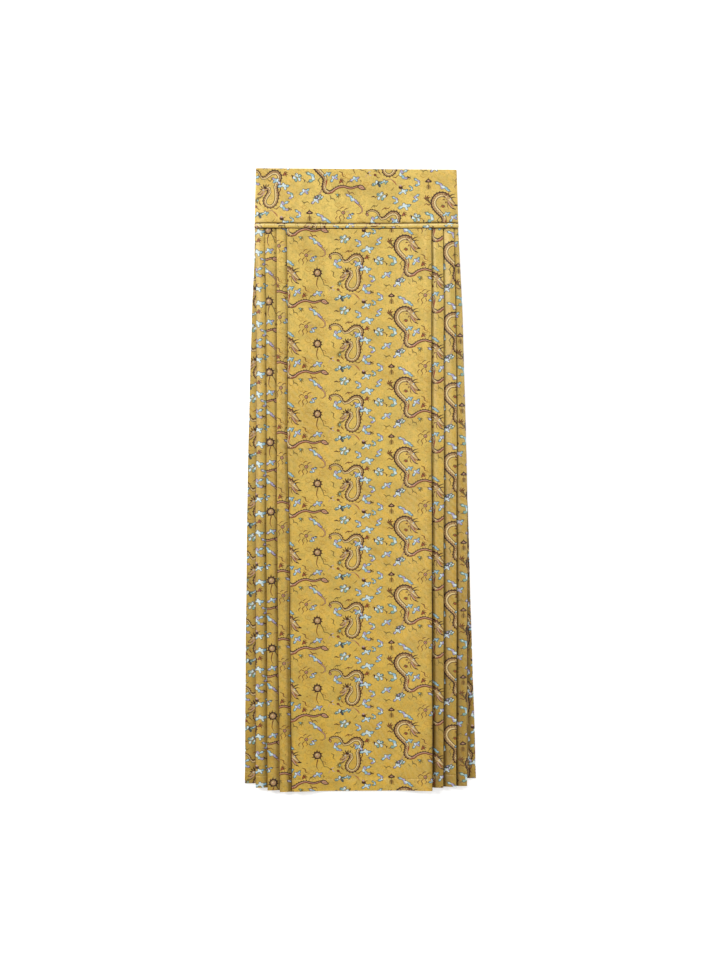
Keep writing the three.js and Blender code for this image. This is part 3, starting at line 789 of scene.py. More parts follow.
    c.stroke(BROWN, [(339.4, 290.4), (341.0, 292.2), (343.2, 291.4)], [0.9, 0.7, 0.2])
    c.stroke(TAN, [(345.0, 292.8), (349.4, 294.2), (353.8, 293.2), (357.4, 296.2), (360.2, 299.0)], [0.7, 1.1, 1.3, 1.6, 0.5])
    c.stroke(RED, [(355.4, 294.4), (358.0, 296.6), (359.4, 299.6)], [0.5, 0.9, 0.3])
    c.stroke(OLIVE, [(353.6, 304.6), (355.6, 303.2), (357.2, 301.0)], [0.3, 0.8, 0.3])

    # the standing dragon
    c.stroke(OLIVE, [(394.6, 247.2), (392.4, 245.6), (391.0, 243.4)], [1.6, 2.0, 1.6])
    c.claw(390.2, 242.8, -1.9, 1.45, OLIVE, BROWN)
    c.claw(422.6, 264.6, -0.7, 1.25, RED, BROWN)
    c.claw(419.4, 277.6, 0.6, 1.15, TEAL, OLIVE)
    c.claw(398.6, 279.6, 2.3, 1.2, LILAC, SLATE)
    c.stroke(TAN, [(404.6, 270.6), (402.6, 275.0), (399.8, 278.4)], [1.8, 1.9, 1.2])
    c.body([(407.0, 273.6), (410.6, 275.6), (413.9, 274.7), (416.6, 272.3), (420.9, 270.2), (425.4, 269.4), (429.8, 270.8), (434.0, 271.2), (438.4, 269.8), (441.6, 269.6)],
           [3.8, 3.2, 2.8, 2.5, 2.3, 2.1, 1.9, 1.8, 1.6, 1.4], back=-1, belly=RED, skin=ROSE, line_w=0.9)
    c.body([(411.4, 240.8), (407.6, 238.7), (403.2, 238.3), (399.2, 240.5), (396.9, 244.5), (397.3, 249.2), (400.1, 253.3), (403.8, 257.1), (407.0, 260.9), (407.2, 265.3),
            (406.0, 269.6), (407.2, 273.5), (410.4, 275.4)],
           [4.6, 4.9, 5.1, 5.2, 5.3, 5.2, 5.0, 4.8, 4.6, 4.4, 4.3, 4.0, 3.4], back=1, line_w=1.15)
    c.stroke(RED, [(408.4, 262.6), (408.3, 266.2), (407.4, 270.2)], [0.5, 1.5, 0.6])
    # its tail tip, like a leaf
    c.poly(DARK, [(439.2, 269.0), (442.0, 267.4), (445.0, 268.4), (448.2, 272.4), (444.6, 273.2), (440.8, 271.8)])
    c.poly(ROSE, [(440.4, 269.4), (442.2, 268.4), (444.6, 269.2), (446.7, 271.9), (444.2, 272.2), (441.2, 271.0)])
    c.stroke(RED, [(441.0, 269.8), (443.6, 270.4), (446.0, 271.8)], [0.3, 0.6, 0.2])
    c.tri(DARK, 447.0, 271.0, 2.0, -0.8, 0.7)
    # its head: mane and horns, skull, parted jaws
    for x, y, dx, dy in ((409.2, 238.6, -0.4, -3.2), (411.0, 238.4, 1.2, -3.4), (408.0, 240.6, -2.6, -1.8), (407.6, 242.8, -2.6, 0.4), (409.4, 245.0, -1.6, 2.2)):
        c.tri(BROWN, x, y, dx, dy, 1.9)
    c.stroke(DARK, [(412.2, 240.4), (414.6, 238.4), (418.2, 237.4)], [1.5, 1.0, 0.3], step=2.4)
    c.stroke(DARK, [(413.6, 241.6), (416.6, 240.6), (419.2, 241.2)], [1.4, 0.9, 0.3], step=2.4)
    c.stroke(DARK, [(409.8, 240.9), (412.4, 242.6), (415.2, 245.6), (417.8, 248.4), (420.6, 249.0)], [4.6, 4.5, 3.4, 2.7, 0.9], step=2.2)
    c.stroke(DARK, [(411.2, 244.6), (412.8, 248.2), (415.4, 251.6), (418.2, 252.9)], [2.6, 2.3, 1.7, 0.5], step=2.2)
    c.stroke(ROSE, [(411.3, 244.7), (412.9, 248.1), (415.3, 251.3)], [1.7, 1.3, 0.7], step=2.4)
    c.stroke(TAN, [(409.6, 240.9), (412.4, 242.8), (415.1, 245.7), (417.6, 248.2)], [3.7, 3.5, 2.4, 1.5], step=2.2)
    c.stroke(PALE, [(411.6, 242.6), (414.2, 245.2), (416.6, 247.6)], [1.0, 1.0, 0.4], step=3.0)
    c.stroke(RED, [(413.6, 247.4), (415.6, 249.3), (417.2, 250.6)], [0.9, 0.9, 0.2], step=3.0)
    c.disc(WHITE, 413.6, 242.6, 0.75, n=6)
    c.disc(DARK, 413.8, 242.7, 0.38, n=5)
    c.stroke(BROWN, [(410.2, 246.6), (410.4, 250.0), (412.2, 252.6)], [0.7, 0.8, 0.2], step=2.8)
    # what it holds in its bend
    c.disc(BROWN, 405.9, 249.8, 1.75, 1.35, 0.4, n=9)
    c.disc(RED, 405.8, 249.7, 1.0, 0.7, 0.4, n=7)
    c.stroke(OLIVE, [(403.2, 250.6), (405.0, 248.0), (407.4, 248.6), (408.2, 251.0)], [0.3, 0.7, 0.7, 0.3])

    # a canopy with its fringe
    c.poly(DARK, [(387.9, 295.4), (390.0, 293.7), (391.2, 292.6), (392.8, 293.6), (395.0, 295.2), (394.2, 296.6), (388.8, 296.7)])
    c.poly(ROSE, [(389.8, 295.2), (391.4, 294.1), (393.2, 295.2), (391.4, 295.7)])
    c.tri(DARK, 391.3, 293.0, 0.1, -1.6, 0.7)
    c.stroke(OLIVE, [(391.3, 296.8), (391.5, 299.6), (391.6, 303.4)], [0.8, 0.6, 0.9])
    for dx in (-1.7, -0.6, 0.8, 1.9):
        c.stroke(BROWN, [(391.4 + dx * 0.6, 298.9), (391.5 + dx, 301.4), (391.6 + dx * 0.9, 303.8)], [0.5, 0.6, 0.2], step=1.6)
    # a jewel with a bead, and a comma
    c.disc(DARK, 363.7, 301.2, 2.2, 2.0, 0.2, n=10)
    c.disc(ROSE, 363.5, 299.8, 1.5, 0.95, 0.1, n=8)
    c.disc(LILAC, 363.3, 299.4, 0.7, 0.45, 0.1, n=7)
    c.tri(DARK, 365.2, 302.4, 1.6, 1.8, 1.2)
    c.tri(BROWN, 366.0, 300.2, 2.2, -0.8, 0.9)
    c.stroke(DARK, [(370.2, 289.9), (371.4, 291.8), (373.4, 292.0), (372.6, 294.0)], [0.4, 1.7, 1.1, 0.4])
    c.stroke(BROWN, [(372.6, 290.2), (374.2, 290.8)], [0.5, 0.2])

    # flames and whiskers beside the bodies
    for pts, col in (([(394.6, 246.6), (391.8, 248.4), (389.2, 247.0), (386.8, 248.6)], BROWN),
                     ([(402.6, 260.2), (400.2, 263.4), (402.0, 266.4), (400.4, 269.4)], OLIVE),
                     ([(421.0, 254.6), (424.2, 256.0), (424.8, 259.2), (427.6, 260.6)], BROWN),
                     ([(428.2, 267.8), (429.8, 264.6), (432.8, 264.4), (434.6, 266.2)], OLIVE),
                     ([(429.0, 273.0), (431.4, 276.0), (434.6, 275.4), (436.6, 277.6)], BROWN),
                     ([(411.8, 277.6), (413.0, 280.8), (416.0, 281.8), (417.2, 284.4)], OLIVE),
                     ([(362.0, 268.6), (362.6, 272.6), (360.9, 276.0), (362.8, 279.4)], BROWN),
                     ([(345.0, 252.8), (348.0, 250.8), (351.4, 251.6), (353.4, 249.4)], BROWN),
                     ([(334.0, 251.0), (336.6, 248.6), (339.6, 249.2), (341.4, 247.0)], OLIVE),
                     ([(343.8, 288.6), (341.6, 286.4), (342.0, 283.0)], BROWN),
                     ([(330.8, 270.4), (333.8, 272.2), (333.0, 275.6), (335.4, 277.6)], OLIVE),
                     ([(361.6, 289.4), (358.6, 291.8), (355.4, 291.4)], BROWN),
                     ([(383.6, 283.6), (386.2, 285.6), (389.4, 284.4), (391.6, 286.4)], OLIVE)):
        c.stroke(col, pts, [0.5, 1.15, 1.0, 0.3], step=2.8)
        c.tri(col, pts[1][0], pts[1][1], 0.5 * (pts[0][1] - pts[1][1]) + 0.6, 0.5 * (pts[1][0] - pts[0][0]) + 1.4, 1.1)
    # the clouds
    c.cloud(344.3, 239.6, 0.98, 0.15, "puff", TEAL, WHITE, 1, 3)
    c.stroke(DARK, [(334.0, 240.4), (336.4, 239.6), (338.6, 240.8)], [0.5, 1.3, 0.5])
    c.stroke(DARK, [(348.8, 236.6), (350.4, 237.6), (349.6, 240.0)], [0.5, 1.2, 0.4])
    c.cloud(358.4, 243.6, 0.80, 0.1, "vee", SKY, LILAC)
    c.cloud(367.4, 249.6, 1.12, 0.25, "leaf", SKY, WHITE)
    c.cloud(378.6, 241.6, 0.84, 0.0, "ess", SKY, LILAC)
    c.cloud(337.0, 263.7, 0.98, 0.0, "cee", SKY, LILAC)
    c.cloud(358.6, 264.2, 0.92, 0.2, "leaf", LILAC, SKY, -1)
    c.cloud(365.4, 269.2, 1.02, 0.42, "leaf", SKY, WHITE)
    c.cloud(379.0, 260.8, 0.98, -0.1, "puff", TEAL, WHITE, -1, 3)
    c.stroke(DARK, [(373.4, 258.0), (375.0, 259.0), (374.6, 261.2)], [0.4, 1.1, 0.4])
    c.stroke(DARK, [(385.2, 262.4), (387.0, 263.6), (386.4, 265.4)], [0.4, 1.4, 0.5])
    c.cloud(392.9, 260.6, 1.12, 0.05, "vee", TEAL, SKY)
    c.cloud(409.3, 257.4, 0.66, 0.1, "leaf", SKY, SKY)
    c.cloud(416.0, 261.3, 0.86, -0.35, "leaf", SKY, LILAC)
    c.cloud(372.4, 278.4, 0.80, 0.0, "vee", LILAC, TEAL)
    c.cloud(386.4, 274.7, 0.96, -0.05, "leaf", SKY, LILAC)
    c.cloud(365.8, 288.6, 1.02, 0.05, "cee", SKY, LILAC)
    c.cloud(380.2, 296.8, 0.84, 0.2, "vee", SKY, LILAC)
    c.cloud(340.2, 297.6, 1.00, 0.22, "leaf", TEAL, SLATE, 1, 2)
    c.cloud(347.4, 296.0, 0.62, 0.35, "leaf", SKY, TEAL)
    c.cloud(317.6, 293.2, 0.86, 0.12, "leaf", LILAC, SKY)
    c.stroke(DARK, [(323.0, 294.0), (324.2, 295.2), (323.6, 296.6)], [0.4, 1.0, 0.3])
    c.cloud(405.6, 300.8, 0.92, 0.05, "long", SKY, LILAC)
    c.cloud(366.2, 305.6, 0.86, 0.08, "leaf", SKY, WHITE)
    c.cloud(373.9, 302.6, 0.56, 0.2, "vee", TEAL, SKY)
    c.cloud(397.4, 283.6, 0.82, -0.1, "leaf", LILAC, WHITE)
    c.cloud(402.2, 279.8, 0.58, 0.1, "puff", TEAL, WHITE, 1, 2)
    c.stroke(OLIVE, [(408.0, 281.4), (409.6, 283.8), (411.4, 284.0)], [0.3, 0.8, 0.3])
    c.disc(BROWN, 426.0 - 119, 281.0, 0.5, n=6)
    return c


class Cell:
    def __init__(self, fine):
        polys = draw_cell(fine).polys
        self.colour = np.array([col for col, _ in polys])
        self.start = np.cumsum([0] + [len(p) for _, p in polys])
        self.xy = np.concatenate([p for _, p in polys])


FINE, COARSE = Cell(True), Cell(False)
print("chart polygons", len(FINE.colour), len(COARSE.colour))

ROW_B, ROW_C = 0.014013, 1.006e-6


def row_of(py):
    t = py - ROW0
    return ROW_B * t + ROW_C * t * t


def py_of(r):
    return ROW0 + (-ROW_B + np.sqrt(np.maximum(1e-9, ROW_B * ROW_B + 4 * ROW_C * r))) / (2 * ROW_C)


def knots(*pairs):
    """a straight-line table of a value down the chart's y"""
    a = np.array(pairs, float)
    return lambda py: np.interp(py, a[:, 0], a[:, 1])


class Phase:
    """where the pattern falls on a strip: shift across, and rows it is moved down"""

    def __init__(self, across, rows):
        self.across, self.rows = across, rows

    def to_mm(self, X, R):
        r = R
        for _ in range(3):
            r = R + self.rows(py_of(r))
        py = py_of(r)
        px = X - self.across(py)
        return (px - 360.3) * 1.6, (479.9 - py) * 1.6

    def window(self, x0, x1, y0, y1):
        """ranges of chart X and rows that a rectangle of the skirt (mm) shows"""
        pys = np.linspace(479.9 - y1 / 1.6, 479.9 - y0 / 1.6, 9)
        across, rows = self.across(pys), self.rows(pys)
        px0, px1 = 360.3 + x0 / 1.6, 360.3 + x1 / 1.6
        return px0 + across.min(), px1 + across.max(), row_of(pys[0]) - rows.max(), row_of(pys[-1]) - rows.min()


PHASES = {
    "panel": Phase(knots((0, 0.0)), knots((0, 0.0))),
    ("L", 15): Phase(knots((248, 146.4), (460, 143.4), (730, 140.6)), knots((0, 0.31))),
    ("L", 13): Phase(knots((232, 49.2), (782, 44.0)), knots((0, 0.407))),
    ("L", 11): Phase(knots((316, 108.5), (700, 106.8)), knots((0, -0.232))),
    ("L", 9): Phase(knots((0, 92.0)), knots((0, 0.25))),
    ("R", 15): Phase(knots((0, -26.0)), knots((294, 0.515), (774, 0.49))),
    ("R", 13): Phase(knots((0, -48.9)), knots((241, 0.09), (726, 0.065))),
    ("R", 11): Phase(knots((265, -66.7), (336, -68.6), (405, -70.4), (474, -72.3), (745, -71.4)), knots((265, 0.58), (745, 0.50))),
    ("R", 9): Phase(knots((0, -109.0)), knots((0, 0.17))),
    "back": Phase(knots((0, 37.0)), knots((0, 0.36))),
    ("L", 8): Phase(knots((0, 18.0)), knots((0, 0.62))),
    ("L", 6): Phase(knots((0, 71.0)), knots((0, 0.13))),
    ("L", 4): Phase(knots((0, 102.0)), knots((0, 0.77))),
    ("L", 2): Phase(knots((0, 31.0)), knots((0, 0.41))),
    ("R", 8): Phase(knots((0, -60.0)), knots((0, 0.22))),
    ("R", 6): Phase(knots((0, -98.0)), knots((0, 0.84))),
    ("R", 4): Phase(knots((0, -20.0)), knots((0, 0.05))),
    ("R", 2): Phase(knots((0, -77.0)), knots((0, 0.57))),
    "band": Phase(knots((0, 82.0)), knots((0, -0.155))),
    "band_back": Phase(knots((0, 11.0)), knots((0, 0.31))),
    "strip": Phase(knots((0, 36.0)), knots((0, 0.30))),
    "strip_back": Phase(knots((0, 70.0)), knots((0, 0.12))),
}


def clip(points, axis, limit, keep_above):
    out = []
    m = len(points)
    for i in range(m):
        a, b = points[i], points[(i + 1) % m]
        ia = (a[axis] >= limit) if keep_above else (a[axis] <= limit)
        ib = (b[axis] >= limit) if keep_above else (b[axis] <= limit)
        if ia:
            out.append(a)
        if ia != ib:
            t = (limit - a[axis]) / (b[axis] - a[axis])
            p = (a[0] + (b[0] - a[0]) * t, a[1] + (b[1] - a[1]) * t)
            out.append(p[:axis] + (limit,) + p[axis + 1:] if axis else (limit, p[1]))
    return out


def pattern(cell, form, n, phase, rect, s_lim, e_lim, q_keep=None):
    """the motifs that fall on one strip or panel, as polygons of the piece's own domain"""
    X0, X1, R0, R1 = phase.window(*rect)
    out = []
    CELL_XY, CELL_START, CELL_COLOUR = cell.xy, cell.start, cell.colour
    cx0, cx1 = CELL_XY[:, 0].min(), CELL_XY[:, 0].max()
    cy0, cy1 = (CELL_XY[:, 1].min() - ROW0) / ROW, (CELL_XY[:, 1].max() - ROW0) / ROW
    for i in range(-6, 7):
        if cx0 + LATTICE_X * i > X1 + 3 or cx1 + LATTICE_X * i < X0 - 3:
            continue
        base = LATTICE_Y * i / ROW
        for j in range(-14, 15):
            if cy0 + base + j > R1 + 0.05 or cy1 + base + j < R0 - 0.05:
                continue
            X = CELL_XY[:, 0] + LATTICE_X * i
            R = (CELL_XY[:, 1] - ROW0) / ROW + base + j
            x, y = phase.to_mm(X, R)
            s, e = form.place(n, x, y)
            smin = np.minimum.reduceat(s, CELL_START[:-1])
            smax = np.maximum.reduceat(s, CELL_START[:-1])
            emin = np.minimum.reduceat(e, CELL_START[:-1])
            emax = np.maximum.reduceat(e, CELL_START[:-1])
            keep = (smax > s_lim[0]) & (smin < s_lim[1]) & (emax > e_lim[0]) & (emin < e_lim[1])
            if q_keep is not None:
                qmax = np.maximum.reduceat(q_keep(x, y), CELL_START[:-1])
                keep &= qmax > 0
            for k in np.nonzero(keep)[0]:
                a, b = CELL_START[k], CELL_START[k + 1]
                whole = list(zip(s[a:b].tolist(), e[a:b].tolist()))
                pts = whole
                if smin[k] < s_lim[0]:
                    pts = clip(pts, 0, s_lim[0], True)
                if len(pts) > 2 and smax[k] > s_lim[1]:
                    pts = clip(pts, 0, s_lim[1], False)
                if len(pts) > 2 and emin[k] < e_lim[0]:
                    pts = clip(pts, 1, e_lim[0], True)
                if len(pts) > 2 and emax[k] > e_lim[1]:
                    pts = clip(pts, 1, e_lim[1], False)
                if len(pts) > 2:
                    out.append((int(CELL_COLOUR[k]), pts))
    return out


def painted_shadow_line(form, n, edge, hems_n, sign, colour, wide, deep):
    """a painted shadow line where a strip goes under the next fold, narrower at the waist"""
    es = np.linspace(LOW, SKIRT_TOP, 31)
    out = []
    q0 = edge(es) - 1.2
    q1 = edge(es) + np.interp(es, [LOW, 0, 330, SKIRT_TOP], [wide, 0.75 * wide, 0.6 * wide, 0.35 * wide]) * (1 + 0.25 * np.sin(es / 31.0 + n))
    ys = y_of(es, form.side.hems(n)[0])
    s0, e0 = form.place(n, sign * q0, ys)
    s1, e1 = form.place(n, sign * q1, ys)
    for i in range(len(es) - 1):
        out.append((colour, [(float(s0[i]), float(e0[i])), (float(s1[i]), float(e1[i])), (float(s1[i + 1]), float(e1[i + 1])), (float(s0[i + 1]), float(e0[i + 1]))]))
    return out


# ------------------------------------------------------------------ meshing
def triangulate(total, e0, e1, lines, rows, polys, border=None, grid=None):
    """constrained triangles of a rectangle of cloth; returns points, triangles, colours"""
    verts, edges = [], []
    for s in lines:
        on_edge = s <= 1e-9 or s >= total - 1e-9
        if border is not None and on_edge:
            ys = border["left" if s <= 1e-9 else "right"]
        else:
            ys = rows
        first = len(verts)
        verts += [(s, y) for y in ys]
        edges += [(first + i, first + i + 1) for i in range(len(ys) - 1)]
    if border is None:
        bottom, top = lines, lines
    else:
        bottom, top = border["bottom"], border["top"]
    for y, ss in ((e0, bottom), (e1, top)):
        first = len(verts)
        verts += [(s, y) for s in ss]
        edges += [(first + i, first + i + 1) for i in range(len(ss) - 1)]
    if grid is not None:
        verts += grid
    for _col, pts in polys:
        first, m = len(verts), len(pts)
        verts += pts
        edges += [(first + i, first + (i + 1) % m) for i in range(m)]
    v2, _e2, f2, _ov, _oe, _of = delaunay_2d_cdt([Vector(p) for p in verts], edges, [], 0, 1e-4)
    P = np.array([(v[0], v[1]) for v in v2])
    T = np.array([f for f in f2 if len(f) == 3])
    a, b, c = P[T[:, 0]], P[T[:, 1]], P[T[:, 2]]
    area = (b[:, 0] - a[:, 0]) * (c[:, 1] - a[:, 1]) - (b[:, 1] - a[:, 1]) * (c[:, 0] - a[:, 0])
    T[area < 0] = T[area < 0][:, ::-1]
    T = T[np.abs(area) > 1e-9]
    return P, T, colours(P[T].mean(axis=1), polys)


def colours(M, polys, cell=4.0):
    """colour of each triangle, from its middle: the last shape drawn over it"""
    C = np.full(len(M), GROUND)
    if not polys:
        return C
    lo = M.min(axis=0)
    ij = ((M - lo) / cell).astype(np.int64)
    wide = int(ij[:, 0].max()) + 1
    key = ij[:, 1] * wide + ij[:, 0]
    order = np.argsort(key, kind="stable")
    ranked = key[order]
    for col, pts in polys:
        p = np.array(pts)
        a, b = ((p.min(axis=0) - lo) / cell).astype(int), ((p.max(axis=0) - lo) / cell).astype(int)
        a, b = np.maximum(a, 0), np.minimum(b, (wide - 1, 10 ** 6))
        near = []
        for row in range(a[1], b[1] + 1):
            i, j = np.searchsorted(ranked, (row * wide + a[0], row * wide + b[0] + 1))
            near.append(order[i:j])
        near = np.concatenate(near)
        if not len(near):
            continue
        x, y = M[near, 0][:, None], M[near, 1][:, None]
        q = np.roll(p, -1, axis=0)
        up, dn = (p[:, 1] <= y) & (q[:, 1] > y), (p[:, 1] > y) & (q[:, 1] <= y)
        left = (q[:, 0] - p[:, 0]) * (y - p[:, 1]) - (x - p[:, 0]) * (q[:, 1] - p[:, 1])
        winding = (up & (left > 0)).sum(axis=1) - (dn & (left < 0)).sum(axis=1)
        C[near[winding != 0]] = col
    return C


def border_of(P, T):
    e = np.concatenate([T[:, [0, 1]], T[:, [1, 2]], T[:, [2, 0]]])
    key = np.minimum(e[:, 0], e[:, 1]).astype(np.int64) * len(P) + np.maximum(e[:, 0], e[:, 1])
    _u, first, count = np.unique(key, return_index=True, return_counts=True)
    return e[first[count == 1]]


def surface(form, s, e):
    """centre points and unit normals of the right side, mm"""
    def at(ss, ee):
        x, y, z = form.centre(ss, ee)
        if not isinstance(form, Band):
            z = settle(ripple(x, y, z))
        return np.stack([x, y, z], 1)

    P = at(s, e)
    h = 0.04
    lo, hi = np.clip(s - h, 0, form.total), np.clip(s + h, 0, form.total)
    ds = at(hi, e) - at(lo, e)
    e0, e1 = form_range(form)
    el, eh = np.clip(e - 0.3, e0, e1), np.clip(e + 0.3, e0, e1)
    de = at(s, eh) - at(s, el)
    N = np.cross(ds, de)
    N /= np.maximum(1e-12, np.linalg.norm(N, axis=1))[:, None]
    return P, N * form.flip


def form_range(form):
    return (form.e0, form.e1) if isinstance(form, Band) else (LOW, SKIRT_TOP)


def build(name, form, polys, rows, grid, grid_in, mats):
    e0, e1 = form_range(form)
    lines = form.lines()
    P, T, C = triangulate(form.total, e0, e1, lines, rows, polys, None, grid)
    rim = border_of(P, T)
    on = np.unique(rim)
    tol = 1e-3
    snap = P[on]
    snap[snap[:, 0] < tol, 0] = 0.0
    snap[snap[:, 0] > form.total - tol, 0] = form.total
    snap[snap[:, 1] < e0 + tol, 1] = e0
    snap[snap[:, 1] > e1 - tol, 1] = e1
    P[on] = snap
    border = {
        "left": sorted(set(snap[snap[:, 0] == 0.0][:, 1].tolist())),
        "right": sorted(set(snap[snap[:, 0] == form.total][:, 1].tolist())),
        "bottom": sorted(set(snap[snap[:, 1] == e0][:, 0].tolist())),
        "top": sorted(set(snap[snap[:, 1] == e1][:, 0].tolist())),
    }
    rows_in = rows[::2] if rows[-1] in rows[::2] else rows[::2] + [rows[-1]]
    P2, T2, _C2 = triangulate(form.total, e0, e1, lines, rows_in, [], border, grid_in)
    on2 = np.unique(border_of(P2, T2))
    snap = P2[on2]
    snap[snap[:, 0] < tol, 0] = 0.0
    snap[snap[:, 0] > form.total - tol, 0] = form.total
    snap[snap[:, 1] < e0 + tol, 1] = e0
    snap[snap[:, 1] > e1 - tol, 1] = e1
    P2[on2] = snap
    twin = {}
    for side in ((0, 0.0), (0, form.total), (1, e0), (1, e1)):
        axis, level = side
        a = on[P[on][:, axis] == level]
        b = on2[P2[on2][:, axis] == level]
        order = b[np.argsort(P2[b][:, 1 - axis])]
        vals = P2[order][:, 1 - axis]
        j = np.clip(np.searchsorted(vals, P[a][:, 1 - axis]), 1, len(vals) - 1)
        near = np.where(np.abs(vals[j] - P[a][:, 1 - axis]) < np.abs(vals[j - 1] - P[a][:, 1 - axis]), j, j - 1)
        for v, w, gap in zip(a, order[near], np.abs(vals[near] - P[a][:, 1 - axis])):
            if gap < 0.01 and (int(v) not in twin or gap < twin[int(v)][1]):
                twin[int(v)] = (int(w), gap)
    C0, N0 = surface(form, P[:, 0], P[:, 1])
    C1, N1 = surface(form, P2[:, 0], P2[:, 1])
    if isinstance(form, Band):
        h0, h1 = form.half(P[:, 0], P[:, 1]), form.half(P2[:, 0], P2[:, 1])
    else:
        h0, h1 = np.full(len(P), SHELL / 2), np.full(len(P2), SHELL / 2)
    A, B = C0 + N0 * h0[:, None], C1 - N1 * h1[:, None]
    if isinstance(form, Band):
        N0 = band_normals(form, P, h0, C0, N0, 1)
        N1 = -band_normals(form, P2, h1, C1, N1, -1)
    # faces: the flipped forms turn their triangles over, so that the right side faces out
    Ta = T if form.flip > 0 else T[:, ::-1]
    Tb = (T2[:, ::-1] if form.flip > 0 else T2) + len(P)
    quads, missing = [], 0
    for a, b in rim.tolist():
        if a not in twin or b not in twin or twin[a][0] == twin[b][0]:
            missing += 1
            continue
        q = (b, a, twin[a][0] + len(P), twin[b][0] + len(P))
        quads.append(q if form.flip > 0 else q[::-1])
    V = np.concatenate([A, B])
    V[:, 2] = np.maximum(V[:, 2], 0.0)
    faces = Ta.tolist() + Tb.tolist() + [[int(i) for i in q] for q in quads]
    me = bpy.data.meshes.new(name)
    me.from_pydata((V * MM).tolist(), [], faces)
    for m in mats:
        me.materials.append(m)
    idx = np.zeros(len(faces), np.int32)
    idx[: len(C)] = C
    idx[len(C): len(C) + len(Tb)] = len(mats) - 1      # wrong side of the cloth
    me.polygons.foreach_set("material_index", idx)
    me.polygons.foreach_set("use_smooth", np.ones(len(faces), bool))
    uv = me.uv_layers.new(name="OFBake")
    loops = np.empty(len(me.loops), np.int32)
    me.loops.foreach_get("vertex_index", loops)
    U = np.zeros((len(V), 2))
    span = e1 - e0
    U[: len(P), 0] = 0.01 + 0.60 * P[:, 0] / form.total
    U[: len(P), 1] = 0.01 + 0.98 * (P[:, 1] - e0) / span
    U[len(P):, 0] = 0.66 + 0.31 * P2[:, 0] / form.total
    U[len(P):, 1] = 0.01 + 0.98 * (P2[:, 1] - e0) / span
    co = U[loops]
    start = 3 * (len(Ta) + len(Tb))
    for i, q in enumerate(quads):                      # the rim has its own narrow islands
        top = V[q[0]], V[q[1]]
        a0, b0 = (q[0], q[1]) if q[0] < len(P) else (q[3], q[2])
        pa, pb = P[a0], P[b0]
        if abs(pa[0] - pb[0]) < 1e-7:
            col = 0.625 if pa[0] < 1 else 0.634
            va, vb = 0.01 + 0.98 * (pa[1] - e0) / span, 0.01 + 0.98 * (pb[1] - e0) / span
        else:
            col = 0.643 if pa[1] < e0 + 1 else 0.652
            va, vb = 0.01 + 0.98 * pa[0] / form.total, 0.01 + 0.98 * pb[0] / form.total
        for c in range(4):
            vi = q[c]
            outer = vi < len(P)
            first = vi in (a0,) or (not outer and ((c == 3 and q[0] == a0) or (c == 0 and q[3] == a0)))
            co[start + 4 * i + c] = (col if outer else col + 0.004, va if first else vb)
    uv.data.foreach_set("uv", co.ravel())
    # painted shade per point, from each form's shade(), read by the ground material
    depth = me.attributes.new("painted_fold_shade", "FLOAT", "POINT")
    dv = np.zeros(len(V), np.float32)
    dv[: len(P)] = form.shade(P[:, 0], P[:, 1], C0[:, 0], C0[:, 1])
    depth.data.foreach_set("value", dv)
    me.update()
    NN = np.concatenate([N0, -N1])
    me.normals_split_custom_set_from_vertices(NN.tolist())
    ob = bpy.data.objects.new(name, me)
    bpy.context.scene.collection.objects.link(ob)
    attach(ob, "root")
    print(f"{name}: {len(Ta)} + {len(Tb)} + {len(quads)} faces, {missing} rim gaps")
    return ob


def band_normals(form, P, h, C, N, side):
    """normals of a band's rounded faces, from its own thickness"""
    e0, e1 = form_range(form)
    d = 0.05
    el, eh = np.clip(P[:, 1] - d, e0, e1), np.clip(P[:, 1] + d, e0, e1)
    x0, y0, z0 = form.centre(P[:, 0], el)
    x1, y1, z1 = form.centre(P[:, 0], eh)
    g = (form.half(P[:, 0], eh) - form.half(P[:, 0], el))
    t = np.stack([x1 - x0, y1 - y0, z1 - z0], 1)
    length = np.maximum(1e-9, np.linalg.norm(t, axis=1))
    t = t / length[:, None]
    M = N * side - t * np.clip(g / length, -3, 3)[:, None]
    return M / np.linalg.norm(M, axis=1)[:, None] * side


# ------------------------------------------------------------------ materials
def rgb(h):
    h = h.lstrip("#")
    out = []
    for i in (0, 2, 4):
        v = int(h[i:i + 2], 16) / 255
        out.append(v / 12.92 if v <= 0.04045 else ((v + 0.055) / 1.055) ** 2.4)
    return (*out, 1.0)


def new_material(name):
    m = bpy.data.materials.new(name)
    m.use_nodes = True
    m.node_tree.nodes.clear()
    return m


def node(nt, kind, **values):
    n = nt.nodes.new(kind)
    for k, v in values.items():
        setattr(n, k, v)
    return n


def mix_colour(nt, fac, a, b, blend="MIX"):
    m = node(nt, "ShaderNodeMix", data_type="RGBA", blend_type=blend)
    ins = {s.identifier: s for s in m.inputs}
    for key, v in (("Factor_Float", fac), ("A_Color", a), ("B_Color", b)):
        if isinstance(v, bpy.types.NodeSocket):
            nt.links.new(v, ins[key])
        else:
            ins[key].default_value = v
    return next(s for s in m.outputs if s.identifier == "Result_Color")


def math_node(nt, op, a, b=None, c=None, clamp=False):
    m = node(nt, "ShaderNodeMath", operation=op, use_clamp=clamp)
    for i, v in enumerate((a, b, c)):
        if v is None:
            continue
        if isinstance(v, bpy.types.NodeSocket):
            nt.links.new(v, m.inputs[i])
        else:
            m.inputs[i].default_value = v
    return m.outputs[0]


def noise(nt, vec, scale, detail=3.0, rough=0.55, stretch=None):
    if stretch:
        mp = node(nt, "ShaderNodeMapping")
        mp.inputs["Scale"].default_value = stretch
        nt.links.new(vec, mp.inputs["Vector"])
        vec = mp.outputs[0]
    n = node(nt, "ShaderNodeTexNoise")
    nt.links.new(vec, n.inputs["Vector"])
    n.inputs["Scale"].default_value = scale
    n.inputs["Detail"].default_value = detail
    n.inputs["Roughness"].default_value = rough
    return n.outputs["Fac"]


